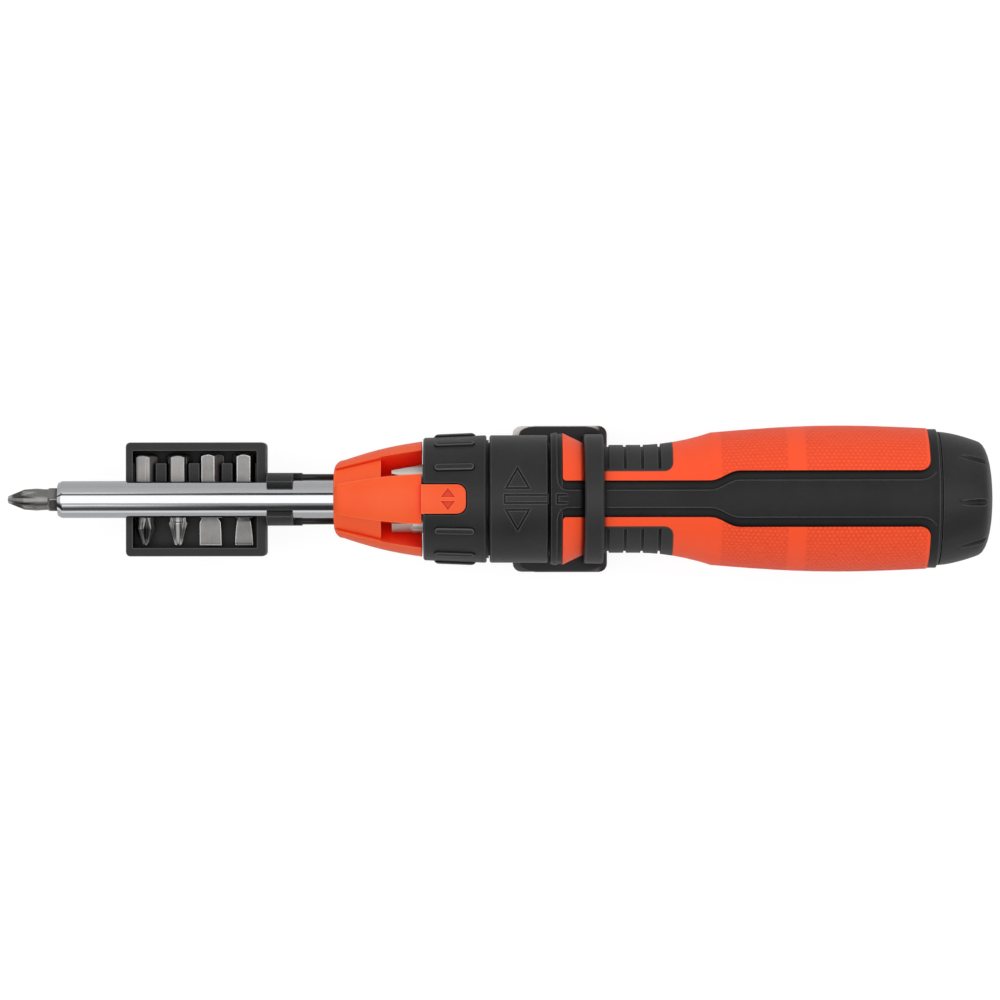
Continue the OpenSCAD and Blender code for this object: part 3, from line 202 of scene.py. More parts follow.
# %% Shared effect: lines left by grinding
def make_brushed_group():
    group, given, out = new_group(
        "ground_lines",
        [("Stretch", "NodeSocketVector", (60.0, 6000.0, 6000.0)),
         ("Height", "NodeSocketFloat", 0.2)],
        [("Normal", "NodeSocketVector"), ("Lines", "NodeSocketFloat"),
         ("Smudge", "NodeSocketFloat")])
    place = add(group, "ShaderNodeTexCoord").outputs["Object"]
    drawn = add(group, "ShaderNodeVectorMath", {0: place, 1: given.outputs["Stretch"]},
                operation="MULTIPLY")
    lines = add(group, "ShaderNodeTexNoise", {"Vector": drawn.outputs[0]}, Scale=1.0, Detail=2.0)
    smudge = add(group, "ShaderNodeTexNoise", {"Vector": place},
                 Scale=220.0, Detail=5.0, Roughness=0.65)
    bump = add(group, "ShaderNodeBump",
               {"Height": lines.outputs["Fac"], "Strength": given.outputs["Height"]},
               Distance=0.1 * MM)
    group.links.new(bump.outputs["Normal"], out.inputs["Normal"])
    group.links.new(lines.outputs["Fac"], out.inputs["Lines"])
    group.links.new(smudge.outputs["Fac"], out.inputs["Smudge"])
    return group


BRUSHED = make_brushed_group()


# %% Shared effect: painted highlight on edges
EDGE_CONTRAST = 14.0


def make_edge_highlight_group():
    group, given, out = new_group(
        "painted_edge_highlight", [("Reach", "NodeSocketFloat", 0.4 * MM)], [("Mask", "NodeSocketFloat")])
    rounded = add(group, "ShaderNodeBevel", {"Radius": given.outputs["Reach"]}, samples=4)
    flat = add(group, "ShaderNodeNewGeometry").outputs["Normal"]
    alike = add(group, "ShaderNodeVectorMath", {0: rounded.outputs[0], 1: flat},
                operation="DOT_PRODUCT")
    away = maths(group, "SUBTRACT", 1.0, alike.outputs["Value"])
    # a painted highlight: edges are lightened where the rounded normal turns away from the flat one
    group.links.new(maths(group, "MULTIPLY", away, EDGE_CONTRAST, clamp=True), out.inputs["Mask"])
    return group


EDGE_HIGHLIGHT = make_edge_highlight_group()


# %% Shared effect: painted shade in crevices
GROOVE_CONTRAST = 2.3


def make_crevice_shade_group():
    group, given, out = new_group(
        "painted_crevice_shade", [("Reach", "NodeSocketFloat", 1.2 * MM)], [("Mask", "NodeSocketFloat")])
    open_sky = add(group, "ShaderNodeAmbientOcclusion", {"Distance": given.outputs["Reach"]},
                   samples=6)
    closed = maths(group, "SUBTRACT", 1.0, open_sky.outputs["AO"])
    # painted shade: the less open sky a point sees, the darker it is painted
    group.links.new(maths(group, "MULTIPLY", closed, GROOVE_CONTRAST, clamp=True),
                    out.inputs["Mask"])
    return group


CREVICE_SHADE = make_crevice_shade_group()


# %% Shared effect: where a point lies on the tool
def make_place_group():
    group, _, out = new_group(
        "place_on_tool", [],
        [("Along", "NodeSocketFloat"), ("Radius", "NodeSocketFloat"), ("Turn", "NodeSocketFloat"),
         ("Side", "NodeSocketFloat")])
    place = add(group, "ShaderNodeTexCoord").outputs["Object"]
    parts = add(group, "ShaderNodeSeparateXYZ", {"Vector": place}).outputs
    squares = maths(group, "ADD", product(group, parts["Y"], parts["Y"]),
                    product(group, parts["Z"], parts["Z"]))
    group.links.new(parts["X"], out.inputs["Along"])
    group.links.new(parts["Y"], out.inputs["Side"])
    group.links.new(maths(group, "SQRT", squares), out.inputs["Radius"])
    group.links.new(maths(group, "ARCTAN2", parts["Z"], parts["Y"]), out.inputs["Turn"])
    return group


PLACE = make_place_group()
print("Shared effects:", [g.name for g in bpy.data.node_groups])


# %% [markdown]
# ## Finishes
#
# Each finish is a function of its own. It starts from a base material with a single shader, and
# adds what that finish shows: mottled colour, grain, lines, a painted highlight on edges and
# painted shade in grooves.


# %% A base for every finish
def base_material(name):
    material = bpy.data.materials.new(name)
    material.use_nodes = True
    return material


def parts_of(material):
    """The node tree of a finish and its one shader."""
    return material.node_tree, material.node_tree.nodes["Principled BSDF"]


def so_far(shader, label):
    """What already feeds one of the shader's sockets."""
    return shader.inputs[label].links[0].from_socket


def use_group(tree, group, **values):
    node = tree.nodes.new("ShaderNodeGroup")
    node.node_tree = group
    for key, value in values.items():
        node.inputs[key].default_value = value
    return node


GRAIN_ROUGH = 0.12           # how much the mottle changes a moulded finish's roughness
LINES_ROUGH = 0.16           # the same for ground lines
FLUTE_REACH = 1.6 * MM
FLUTE_SHADE_SHARE = 0.75


def moulded(name, colour, mottle_and_highlight, shade_colour, roughness, gloss, grain_size, grain_height, mottle_share=0.25,
            edge=0.5, reach=1.5 * MM):
    """Moulded plastic: pebbled, mottled, with a painted highlight on its edges and painted shade in
    its grooves.
    """
    material = base_material(name)
    tree, shader = parts_of(material)
    shader.inputs["Specular IOR Level"].default_value = gloss
    grain = use_group(tree, GRAIN, Size=grain_size, Height=grain_height)
    edges = use_group(tree, EDGE_HIGHLIGHT, Reach=0.5 * MM)
    mottle = grain.outputs["Mottle"]
    tone = blend_colour(tree, product(tree, mottle, mottle_share), colour, mottle_and_highlight)
    # painted shade in the grooves, and a painted highlight on the edges that stay open
    groove_shade = use_group(tree, CREVICE_SHADE, Reach=reach).outputs["Mask"]
    open_edge_highlight = maths(tree, "SUBTRACT", edges.outputs["Mask"], groove_shade, clamp=True)
    tone = blend_colour(tree, product(tree, open_edge_highlight, edge), tone, mottle_and_highlight)
    tree.links.new(blend_colour(tree, groove_shade, tone, shade_colour), shader.inputs["Base Color"])
    tree.links.new(grain.outputs["Normal"], shader.inputs["Normal"])
    rough = maths(tree, "ADD", product(tree, mottle, GRAIN_ROUGH), roughness - GRAIN_ROUGH / 2)
    tree.links.new(rough, shader.inputs["Roughness"])
    return material


def ground_steel(name, colour, dark, roughness, stretch, height, smudge_share=0.5, bright=None):
    """Steel with drawn lines and smudges and, if asked, a painted highlight on its edges and
    painted shade in its flutes.
    """
    material = base_material(name)
    tree, shader = parts_of(material)
    lines = use_group(tree, BRUSHED, Stretch=stretch, Height=height)
    tone = blend_colour(tree, product(tree, lines.outputs["Smudge"], smudge_share), colour, dark)
    # bright is the colour of the painted edge highlight; the flutes get painted shade
    if bright:
        flute_shade_mask = use_group(tree, CREVICE_SHADE, Reach=FLUTE_REACH).outputs["Mask"]
        tone = blend_colour(tree, product(tree, flute_shade_mask, FLUTE_SHADE_SHARE), tone, srgb(34, 33, 33))
        edges = use_group(tree, EDGE_HIGHLIGHT, Reach=0.4 * MM).outputs["Mask"]
        tone = blend_colour(tree, edges, tone, bright)
    tree.links.new(tone, shader.inputs["Base Color"])
    tree.links.new(lines.outputs["Normal"], shader.inputs["Normal"])
    rough = maths(tree, "ADD", product(tree, lines.outputs["Lines"], LINES_ROUGH),
                  roughness - LINES_ROUGH / 2)
    tree.links.new(rough, shader.inputs["Roughness"])
    shader.inputs["Metallic"].default_value = 1.0
    return material


# %% Finishes of the black parts
GROOVE_SHADE_BLACK = srgb(6, 6, 6)
BLACK_PLASTIC = moulded(
    "black_plastic", srgb(30, 30, 31), srgb(122, 122, 125), GROOVE_SHADE_BLACK, roughness=0.42,
    gloss=0.18, grain_size=3600.0, grain_height=0.32, mottle_share=0.1, edge=0.45, reach=2 * MM)
HANDLE_BLACK = moulded(
    "black_handle", srgb(20, 20, 21), srgb(118, 118, 121), GROOVE_SHADE_BLACK, roughness=0.46, gloss=0.14,
    grain_size=4200.0, grain_height=0.36, mottle_share=0.1, edge=0.45)
BLACK_RUBBER = moulded(
    "black_rubber", srgb(30, 30, 31), srgb(92, 92, 94), GROOVE_SHADE_BLACK, roughness=0.5, gloss=0.22,
    grain_size=3000.0, grain_height=0.3)
BLACK_WIRE = moulded(
    "black_wire", srgb(16, 16, 17), srgb(64, 64, 66), GROOVE_SHADE_BLACK, roughness=0.34, gloss=0.4,
    grain_size=1400.0, grain_height=0.12)
print("Black finishes:", len(bpy.data.materials))

# %% Finishes of the metal parts
LINES_ALONG_X = (160.0, 2500.0, 2500.0)
LINES_ALONG_Y = (2500.0, 160.0, 2500.0)
BIT_STEEL = ground_steel(
    "bit_steel", srgb(140, 139, 138), srgb(88, 87, 86), roughness=0.36, stretch=LINES_ALONG_X,
    height=0.25, smudge_share=0.7, bright=srgb(196, 195, 193))
BRIGHT_BIT_STEEL = ground_steel(
    "bright_bit_steel", srgb(206, 201, 194), srgb(160, 156, 150), roughness=0.5,
    stretch=LINES_ALONG_X, height=0.25)
TRAY_BIT_STEEL = ground_steel(
    "tray_bit_steel", srgb(142, 141, 140), srgb(84, 83, 82), roughness=0.42, stretch=LINES_ALONG_Y,
    height=0.3, smudge_share=0.8, bright=srgb(232, 231, 229))
HARDWARE_STEEL = ground_steel(
    "hardware_steel", srgb(170, 170, 172), srgb(125, 125, 127), roughness=0.3,
    stretch=(2200.0, 2200.0, 2200.0), height=0.1)
MAGNET_NICKEL = ground_steel(
    "magnet_nickel", srgb(200, 198, 190), srgb(160, 158, 150), roughness=0.22,
    stretch=(1500.0, 1500.0, 1500.0), height=0.08)
BUSH_BRONZE = ground_steel(
    "bush_bronze", srgb(190, 150, 90), srgb(130, 98, 52), roughness=0.4,
    stretch=(300.0, 2500.0, 2500.0), height=0.2)
CHROME = ground_steel(
    "chrome_tube", srgb(180, 181, 183), srgb(172, 173, 176), roughness=0.085,
    stretch=(90.0, 2600.0, 2600.0), height=0.015, smudge_share=0.3)
print("Finishes so far:", len(bpy.data.materials))


# %% [markdown]
# ## The orange nose
#
# The nose is moulded in one shot of orange plastic. Inside its slots the colour is painted redder
# where they close in, for the light that bounces from orange to orange, and the floors of the two
# triangles pressed into its tongues get painted shade. Both are found by place: how far along the
# tool a point is, and how far from the axis.

# %% Orange plastic, with painted bounce light inside the slots and painted shade in the pressed marks
TONGUE_R = high("magazine_nose").z
MARK_DEPTH = 0.2 * MM
MARK_X0 = 105.4 * MM
MARK_X1 = 110.2 * MM
SLOT_X0 = 89.2 * MM
SLOT_X1 = 100.4 * MM
SLOT_REACH = 8 * MM
MARK_SHADE = 0.5


def orange_plastic():
    material = moulded(
        "orange_plastic", srgb(238, 79, 32), srgb(255, 138, 92), srgb(206, 42, 18), roughness=0.44,
        gloss=0.15, grain_size=2600.0, grain_height=0.12, mottle_share=0.3, edge=0.4,
        reach=0.7 * MM)
    tree, shader = parts_of(material)
    place = use_group(tree, PLACE).outputs
    at_floor = between(tree, place["Radius"], TONGUE_R - 3 * MARK_DEPTH, TONGUE_R - MARK_DEPTH / 2)
    # painted shade on the floors of the pressed marks
    mark_floor_shade = product(tree, between(tree, place["Along"], MARK_X0, MARK_X1), at_floor)
    # painted bounce light: redder where the slots close in
    slot_bounce_mask = product(tree, use_group(tree, CREVICE_SHADE, Reach=SLOT_REACH).outputs["Mask"],
                    between(tree, place["Along"], SLOT_X0, SLOT_X1))
    bounce_tinted = blend_colour(tree, slot_bounce_mask, so_far(shader, "Base Color"), srgb(238, 32, 14))
    marked = blend_colour(tree, product(tree, mark_floor_shade, MARK_SHADE), bounce_tinted, srgb(196, 30, 16))
    tree.links.new(marked, shader.inputs["Base Color"])
    return material


ORANGE_PLASTIC = orange_plastic()
print("Slots from", SLOT_X0, "to", SLOT_X1, "tongue radius", round(TONGUE_R, 5))


# %% [markdown]
# ## The finger collar
#
# The ribs of the collar get painted shade at their feet and a painted highlight, a little greyer
# than the rest, on their round shoulders. A rib's height above the collar's cone, from nothing to
# its
# full rise, gives both: a low band turns dark and dull, the band above it grey.

# %% Collar plastic, with painted shade at the feet of its ribs and a painted highlight above
COLLAR_X0 = 100.9 * MM
COLLAR_X1 = 118.3 * MM
COLLAR_FRONT_R = 16.9 * MM
COLLAR_BACK_R = 17.6 * MM
RIB_RISE = 0.8 * MM
FOOT_SHARE = 0.3             # the middle of the painted shade band, as a share of a rib's rise
FOOT_FULL = 1.4              # past one, so that the band's middle is wholly dark
SHOULDER_WIDTH = 0.22        # the painted highlight band above it, as a share of a rib's rise


def collar_plastic():
    material = moulded(
        "black_collar", srgb(31, 31, 32), srgb(104, 104, 107), srgb(4, 4, 4), roughness=0.42,
        gloss=0.2, grain_size=3600.0, grain_height=0.32, mottle_share=0.1, edge=0.3)
    tree, shader = parts_of(material)
    place = use_group(tree, PLACE).outputs
    skin = map_range(tree, place["Along"], COLLAR_X0, COLLAR_X1, COLLAR_FRONT_R, COLLAR_BACK_R)
    above = rise(tree, place["Radius"], skin, RIB_RISE)
    off_foot = maths(tree, "ABSOLUTE", maths(tree, "SUBTRACT", above, FOOT_SHARE))
    thinning = maths(tree, "DIVIDE", off_foot, FOOT_SHARE / FOOT_FULL)
    foot_shade = maths(tree, "SUBTRACT", FOOT_FULL, thinning, clamp=True)
    shoulder_highlight = between(tree, above, 2 * FOOT_SHARE, 2 * FOOT_SHARE + SHOULDER_WIDTH)
    # a painted highlight on the ribs' shoulders, then painted shade at their feet
    shoulder_lit = blend_colour(tree, product(tree, shoulder_highlight, 0.3), so_far(shader, "Base Color"),
                          srgb(124, 124, 127))
    feet_shaded = blend_colour(tree, product(tree, foot_shade, 0.95), shoulder_lit, srgb(2, 2, 2))
    rough = maths(tree, "ADD", so_far(shader, "Roughness"), product(tree, foot_shade, 0.45))
    tree.links.new(feet_shaded, shader.inputs["Base Color"])
    tree.links.new(rough, shader.inputs["Roughness"])
    return material


COLLAR_BLACK = collar_plastic()
print("Collar skin rises", round((COLLAR_BACK_R - COLLAR_FRONT_R) / MM, 2), "mm from front to back")


# %% [markdown]
# ## The belt clip
#
# The clip is a strip of spring steel, bent hot and only polished where it shows. Its bend and the
# strip along one side get a painted dark reflection.

# %% Clip steel, with a painted dark reflection at its bend and along one side
CLIP_SIDE_Y0 = -8 * MM
CLIP_SIDE_Y1 = -15 * MM
CLIP_BEND_X0 = 147 * MM
CLIP_BEND_X1 = 150 * MM
CLIP_DARK_REFLECTION = 0.93


def clip_steel():
    material = base_material("clip_steel")
    tree, shader = parts_of(material)
    lines = use_group(tree, BRUSHED, Stretch=(1800.0, 120.0, 1800.0), Height=0.08)
    place = use_group(tree, PLACE).outputs
    low_side = map_range(tree, place["Side"], CLIP_SIDE_Y0, CLIP_SIDE_Y1)
    bend = map_range(tree, place["Along"], CLIP_BEND_X0, CLIP_BEND_X1)
    # painted dark reflection at the bend and on the low side
    dark_reflection = product(tree, maths(tree, "MAXIMUM", low_side, bend), CLIP_DARK_REFLECTION)
    smudges = product(tree, lines.outputs["Smudge"], 0.5)
    bright = blend_colour(tree, smudges, srgb(182, 176, 170), srgb(150, 146, 142))
    tree.links.new(blend_colour(tree, dark_reflection, bright, srgb(38, 38, 40)), shader.inputs["Base Color"])
    tree.links.new(lines.outputs["Normal"], shader.inputs["Normal"])
    shader.inputs["Roughness"].default_value = 0.3
    shader.inputs["Metallic"].default_value = 1.0
    return material


CLIP_STEEL = clip_steel()
print("Clip's dark bend starts at", CLIP_BEND_X0)


# %% [markdown]
# ## Steel of the cross-tip bits
#
# The flutes of a bit get painted shade beside the wings, and the wings may get a painted highlight.
# The mesh of each bit keeps two numbers at every point, how far it lies from a wing's middle and
# how far from the tip. The painted shade runs beside the wings and closes in on them where the
# flutes run out.

# %% Steel of the cross-tip bits, with painted shade in their flutes
WING_HALF = 0.5 * MM
FLUTE_WIDEST = 1.65 * MM     # how far the painted shade reaches from a wing's middle, at its widest
FLUTE_WIDEST_X = 3.6 * MM


def spot_value(tree, name):
    """A number that the mesh keeps at each of its points."""
    node = tree.nodes.new("ShaderNodeAttribute")
    node.attribute_name = name
    return node.outputs["Fac"]


def cross_bit_steel(material, flute_end, flute_shade, wing_highlight):
    """Paints shade into the flutes beside the wings, as far back as flute_end, and paints a
    highlight on the wings.
    """
    tree, shader = parts_of(material)
    across = spot_value(tree, "off_wing")
    along = spot_value(tree, "from_tip")
    edge = map_range(tree, along, FLUTE_WIDEST_X, flute_end, FLUTE_WIDEST, WING_HALF)
    past_wing = rise(tree, across, WING_HALF, 0.2 * MM)
    inside = rise(tree, edge, across, 0.45 * MM)
    past_tip = rise(tree, along, 0.6 * MM, MM)
    wing = rise(tree, WING_HALF, across, 0.15 * MM)
    tapered = rise(tree, flute_end, along, 2 * MM)
    wing_lit = blend_colour(tree, product(tree, wing, tapered, wing_highlight),
                         so_far(shader, "Base Color"), srgb(236, 235, 233))
    flute_shaded = blend_colour(tree, product(tree, past_wing, inside, past_tip, flute_shade), wing_lit,
                         srgb(26, 26, 26))
    tree.links.new(flute_shaded, shader.inputs["Base Color"])
    return material


FITTED_BIT_STEEL = cross_bit_steel(
    ground_steel("fitted_bit_steel", srgb(136, 135, 134), srgb(88, 87, 86), roughness=0.36,
                 stretch=LINES_ALONG_X, height=0.25, smudge_share=0.7, bright=srgb(190, 189, 187)),
    flute_end=9.8 * MM, flute_shade=0.8, wing_highlight=0.0)
TRAY_CROSS_STEEL = cross_bit_steel(
    ground_steel("tray_cross_bit_steel", srgb(142, 141, 140), srgb(98, 97, 96), roughness=0.42,
                 stretch=LINES_ALONG_Y, height=0.25, smudge_share=0.7, bright=srgb(232, 231, 229)),
    flute_end=8.6 * MM, flute_shade=0.7, wing_highlight=0.5)
print("Finishes so far:", len(bpy.data.materials))

# %% [markdown]
# ## The soft grip's skin
#
# The grips are soft rubber, smooth near the neck and covered further back by small staggered
# bumps, with one smooth stripe between two fields of them. The bumps follow the surface: along
# the tool their place is X, round it the angle times the radius. A lattice of round spots made
# from those two numbers drives a bump, and a mask of X keeps the smooth parts smooth.

# %% The soft grip's sizes
DOT_PITCH = 1.3 * MM
DOT_R_SHARE = 0.40           # a bump's radius, as a share of the pitch
DOT_HEIGHT = 0.2 * MM
GRIP_MEAN_R = 19 * MM
DOT_FIELD_X0 = 182.6 * MM
DOT_STRIPE_X0 = 200.6 * MM
DOT_STRIPE_X1 = 205.6 * MM
DOT_FIELD_X1 = 238.6 * MM
print("Bumps along a field:", round((DOT_FIELD_X1 - DOT_FIELD_X0) / DOT_PITCH))


# %% Bumps in staggered rows
def dot_height(tree, place):
    """The height of the bumps, from nothing to one, and the mask of the fields that have them."""
    along = maths(tree, "DIVIDE", place["Along"], DOT_PITCH)
    round_it = product(tree, place["Turn"], GRIP_MEAN_R / DOT_PITCH * 2 / math.sqrt(3))
    row = maths(tree, "FLOOR", round_it)
    odd = product(tree, maths(tree, "MODULO", maths(tree, "ABSOLUTE", row), 2.0), 0.5)
    cell_x = maths(tree, "SUBTRACT", maths(tree, "FRACT", maths(tree, "ADD", along, odd)), 0.5)
    cell_y = maths(tree, "SUBTRACT", maths(tree, "FRACT", round_it), 0.5)
    away = maths(tree, "SQRT", maths(tree, "ADD", product(tree, cell_x, cell_x),
                                     product(tree, cell_y, cell_y)))
    dome = maths(tree, "SUBTRACT", 1.0, maths(tree, "DIVIDE", away, DOT_R_SHARE), clamp=True)
    fields = between(tree, place["Along"], DOT_FIELD_X0, DOT_FIELD_X1)
    stripe = between(tree, place["Along"], DOT_STRIPE_X0, DOT_STRIPE_X1)
    mask = product(tree, fields, maths(tree, "SUBTRACT", 1.0, stripe))
    return product(tree, maths(tree, "SQRT", dome), mask), mask


# %% Orange rubber, with painted highlights on its bumps and painted shade between them and in grooves
def orange_rubber():
    material = base_material("orange_rubber")
    tree, shader = parts_of(material)
    height, mask = dot_height(tree, use_group(tree, PLACE).outputs)
    grain = use_group(tree, GRAIN, Size=2400.0, Height=0.12)
    bump = add(tree, "ShaderNodeBump", {"Height": height, "Normal": grain.outputs["Normal"]},
               Strength=0.85, Distance=DOT_HEIGHT)
    mottle = product(tree, grain.outputs["Mottle"], 0.35)
    soft = blend_colour(tree, mottle, srgb(246, 78, 36), srgb(250, 98, 56))
    # a painted highlight on the tops of the bumps
    soft = blend_colour(tree, product(tree, height, 0.3), soft, srgb(252, 106, 54))
    # painted shade in the pits between the bumps
    pit_shade = product(tree, maths(tree, "SUBTRACT", mask, height, clamp=True), 0.34)
    dotted = blend_colour(tree, pit_shade, soft, srgb(214, 48, 16))
    # painted shade in the grooves
    groove_shade = use_group(tree, CREVICE_SHADE, Reach=1.2 * MM).outputs["Mask"]
    groove_shaded = blend_colour(tree, groove_shade, dotted, srgb(120, 14, 6))
    tree.links.new(groove_shaded, shader.inputs["Base Color"])
    tree.links.new(bump.outputs["Normal"], shader.inputs["Normal"])
    shader.inputs["Roughness"].default_value = 0.5
    shader.inputs["Specular IOR Level"].default_value = 0.25
    return material


ORANGE_RUBBER = orange_rubber()
print("Finishes so far:", len(bpy.data.materials))

# %% [markdown]
# ## Which part gets which finish
#
# Each solid carries the name of its finish. A few parts have a finish of their own, lighter or
# darker than the others of their kind.

# %% Finishes given to the solids
FINISH = {
    "chrome_tube": CHROME, "bit_steel": BIT_STEEL, "hardware_steel": HARDWARE_STEEL,
    "magnet_nickel": MAGNET_NICKEL, "bush_bronze": BUSH_BRONZE, "orange_plastic": ORANGE_PLASTIC,
    "black_plastic": BLACK_PLASTIC, "orange_rubber": ORANGE_RUBBER, "black_rubber": BLACK_RUBBER,
    "black_wire": BLACK_WIRE, "clip_steel": CLIP_STEEL,
}
OWN_FINISH = {
    "handle_core": HANDLE_BLACK, "finger_collar": COLLAR_BLACK, "fitted_bit": FITTED_BIT_STEEL,
    "stored_bit_slotted": BRIGHT_BIT_STEEL, "stored_bit_square": BRIGHT_BIT_STEEL,
    "stored_bit_star": BRIGHT_BIT_STEEL, "stored_bit_phillips": BRIGHT_BIT_STEEL,
    "tray_bit_phillips_short": TRAY_CROSS_STEEL, "tray_bit_phillips_long": TRAY_CROSS_STEEL,
    "tray_bit_blade_wide": TRAY_BIT_STEEL, "tray_bit_blade_narrow": TRAY_BIT_STEEL,
}
SLOT_OF = {entry["node"]: entry["material_slot"] for entry in frame["record"]["subparts"]}
BODY_OF = {node: body for body, nodes in frame["record"]["behaviour"]["bodies"].items()
           for node in nodes}


def finish_of(node):
    return OWN_FINISH.get(node, FINISH[SLOT_OF[node]])


for name, obj in frame["nodes"].items():
    for place in obj.material_slots:
        place.material = finish_of(name)
print("Finishes in use:", sorted(set(SLOT_OF.values())))


# %% [markdown]
# ## Rounded copies of moulded and pressed parts
#
# Real edges are never sharp, and a render only looks real when edges catch a thin light. A part
# whose solid already has the right shape is copied, its loose triangles are merged into faces,
# and its sharp edges are bevelled by a fraction of a millimetre.


# %% A helper that rounds a copy
ROUND_OVER = math.radians(35)
ROUND_STEPS = 2


def settle(bm, name, node, smooth_over=40.0, weighted=True):
    """Turns a bmesh into a finished piece that rides with a node's body and stands for it."""
    mesh = bpy.data.meshes.new(name)
    bm.to_mesh(mesh)
    bm.free()
    mesh.materials.append(finish_of(node))
    for face in mesh.polygons:
        face.use_smooth = True
    mesh.set_sharp_from_angle(angle=math.radians(smooth_over))
    piece = bpy.data.objects.new(name, mesh)
    bpy.context.scene.collection.objects.link(piece)
    if weighted:
        piece.modifiers.new("weights", "WEIGHTED_NORMAL").keep_sharp = True
    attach(piece, BODY_OF[node])
    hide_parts(node)
    return piece


def merged_copy(node):
    bm = bmesh.new()
    bm.from_mesh(frame["nodes"][node].data)
    bmesh.ops.remove_doubles(bm, verts=bm.verts, dist=0.002 * MM)
    bmesh.ops.dissolve_limit(bm, angle_limit=math.radians(0.6), verts=bm.verts, edges=bm.edges,
                             use_dissolve_boundaries=False)
    return bm


def rounded(node, name, width):
    """A copy of a solid with every edge sharper than ROUND_OVER bevelled."""
    bm = merged_copy(node)
    edges = [e for e in bm.edges if len(e.link_faces) == 2 and e.calc_face_angle(0) > ROUND_OVER]
    if edges:
        bmesh.ops.bevel(bm, geom=edges, offset=width, offset_type="OFFSET", segments=ROUND_STEPS,
                        profile=0.5, affect="EDGES", material=-1, clamp_overlap=True)
    count = len(edges)
    piece = settle(bm, name, node)
    print(name, "rounds", count, "edges;", len(piece.data.polygons), "faces")


# %% The parts that only need rounded edges
ROUNDED_PARTS = [
    ("magazine_nose", "nose_shell", 0.25 * MM),
    ("finger_collar", "collar_ribbed", 0.3 * MM),
    ("selector_ring", "selector_sleeve", 0.15 * MM),
    ("handle_core", "handle_frame", 0.25 * MM),
    ("grip_left", "soft_grip_left", 0.35 * MM),
    ("grip_right", "soft_grip_right", 0.35 * MM),
    ("neck_insert_left", "neck_pad_left", 0.3 * MM),
    ("neck_insert_right", "neck_pad_right", 0.3 * MM),
    ("end_cap", "cap_shell", 0.3 * MM),
    ("bit_tray", "tray_shell", 0.3 * MM),
    ("strap_pad", "back_pad", 0.5 * MM),
    ("neck_strap", "handle_strap", 0.6 * MM),
    ("belt_clip", "spring_clip", 0.25 * MM),
    ("clip_rivets", "rivet_heads", 0.12 * MM),
    ("carrier_rods", "wire_rods", 0.1 * MM),
    ("stored_bit_slotted", "magazine_bit_blade", 0.12 * MM),
    ("stored_bit_square", "magazine_bit_square", 0.12 * MM),
    ("stored_bit_star", "magazine_bit_star", 0.12 * MM),
    ("stored_bit_phillips", "magazine_bit_cross", 0.12 * MM),
    ("tray_bit_blade_wide", "tray_bit_three", 0.12 * MM),
    ("tray_bit_blade_narrow", "tray_bit_four", 0.12 * MM),
]
for node, name, width in ROUNDED_PARTS:
    rounded(node, name, width)

# %% [markdown]
# ## The cross-tip bits
#
# A cross-tip bit starts as hexagon bar. Its front is turned to a cone on a round neck, and four
# flutes are ground into the cone with a slant, so that four wings are left between them. The skin
# is made in the same order: the blank's outline is spun, and then each of its points is moved in
# to the hexagon's flat or the flute's wall where that lies nearer to the axis, with the corners
# between them slightly rounded. The hexagon is turned as the solid's is, so it still fits its
# socket.

# %% Sizes of the cross-tip bits
BIT_LEN = 25.4 * MM
HEX_HALF = 3.175 * MM
HEX_CORNER_R = HEX_HALF / math.cos(math.radians(30))
SHALLOW_FLUTE = [(0, 0.5 * MM), (4.6 * MM, 2.1 * MM), (9.4 * MM, 3.15 * MM), (BIT_LEN, 6 * MM)]
DEEP_FLUTE = [(0, 0.5 * MM), (BIT_LEN, 6.3 * MM)]
BIT_TURNS = 120
FITTED_FRONT = 11.2 * MM
TRAY_FRONT = 9.6 * MM
print("Hexagon over corners:", round(2 * HEX_CORNER_R / MM, 2), "mm")


# %% A spun blank
def spun(outline, steps):
    """Spins an outline of (x, r) points round the X axis into a closed solid of revolution."""
    bm = bmesh.new()
    verts = [bm.verts.new((x, 0, r)) for x, r in outline]
    on_axis = outline[0][1] == 0
    following = verts[1:] if on_axis else verts[1:] + verts[:1]
    edges = [bm.edges.new(pair) for pair in zip(verts, following)]
    bmesh.ops.spin(bm, geom=verts + edges, cent=(0, 0, 0), axis=X_AXIS, dvec=(0, 0, 0),
                   angle=2 * math.pi, steps=steps, use_merge=True, use_normal_flip=False,
                   use_duplicate=False)
    bmesh.ops.remove_doubles(bm, verts=bm.verts, dist=0.001 * MM)
    bmesh.ops.recalc_face_normals(bm, faces=bm.faces)
    return bm


def blank_line(cone_len, cone_r, belly_r, neck_r, front):
    """The turned blank, from the tip to the back, as (x, radius) points."""
    return [(0, 0.8 * MM), (0.3 * MM, 1.06 * MM), (cone_len - 0.15 * MM, cone_r - 0.06 * MM),
            (cone_len + 0.15 * MM, cone_r), (front - 3.2 * MM, belly_r), (front - 1.2 * MM, neck_r),
            (front - 0.3 * MM, neck_r), (front, 2.95 * MM), (front + 0.7 * MM, HEX_CORNER_R),
            (BIT_LEN - MM, HEX_CORNER_R), (BIT_LEN, HEX_CORNER_R - 1.2 * MM)]


def read_line(points, x):
    """Reads the height at x off a line of (x, height) points."""
    for (x0, r0), (x1, r1) in zip(points, points[1:]):
        if x <= x1:
            return r0 + (r1 - r0) * (x - x0) / (x1 - x0)
    return points[-1][1]


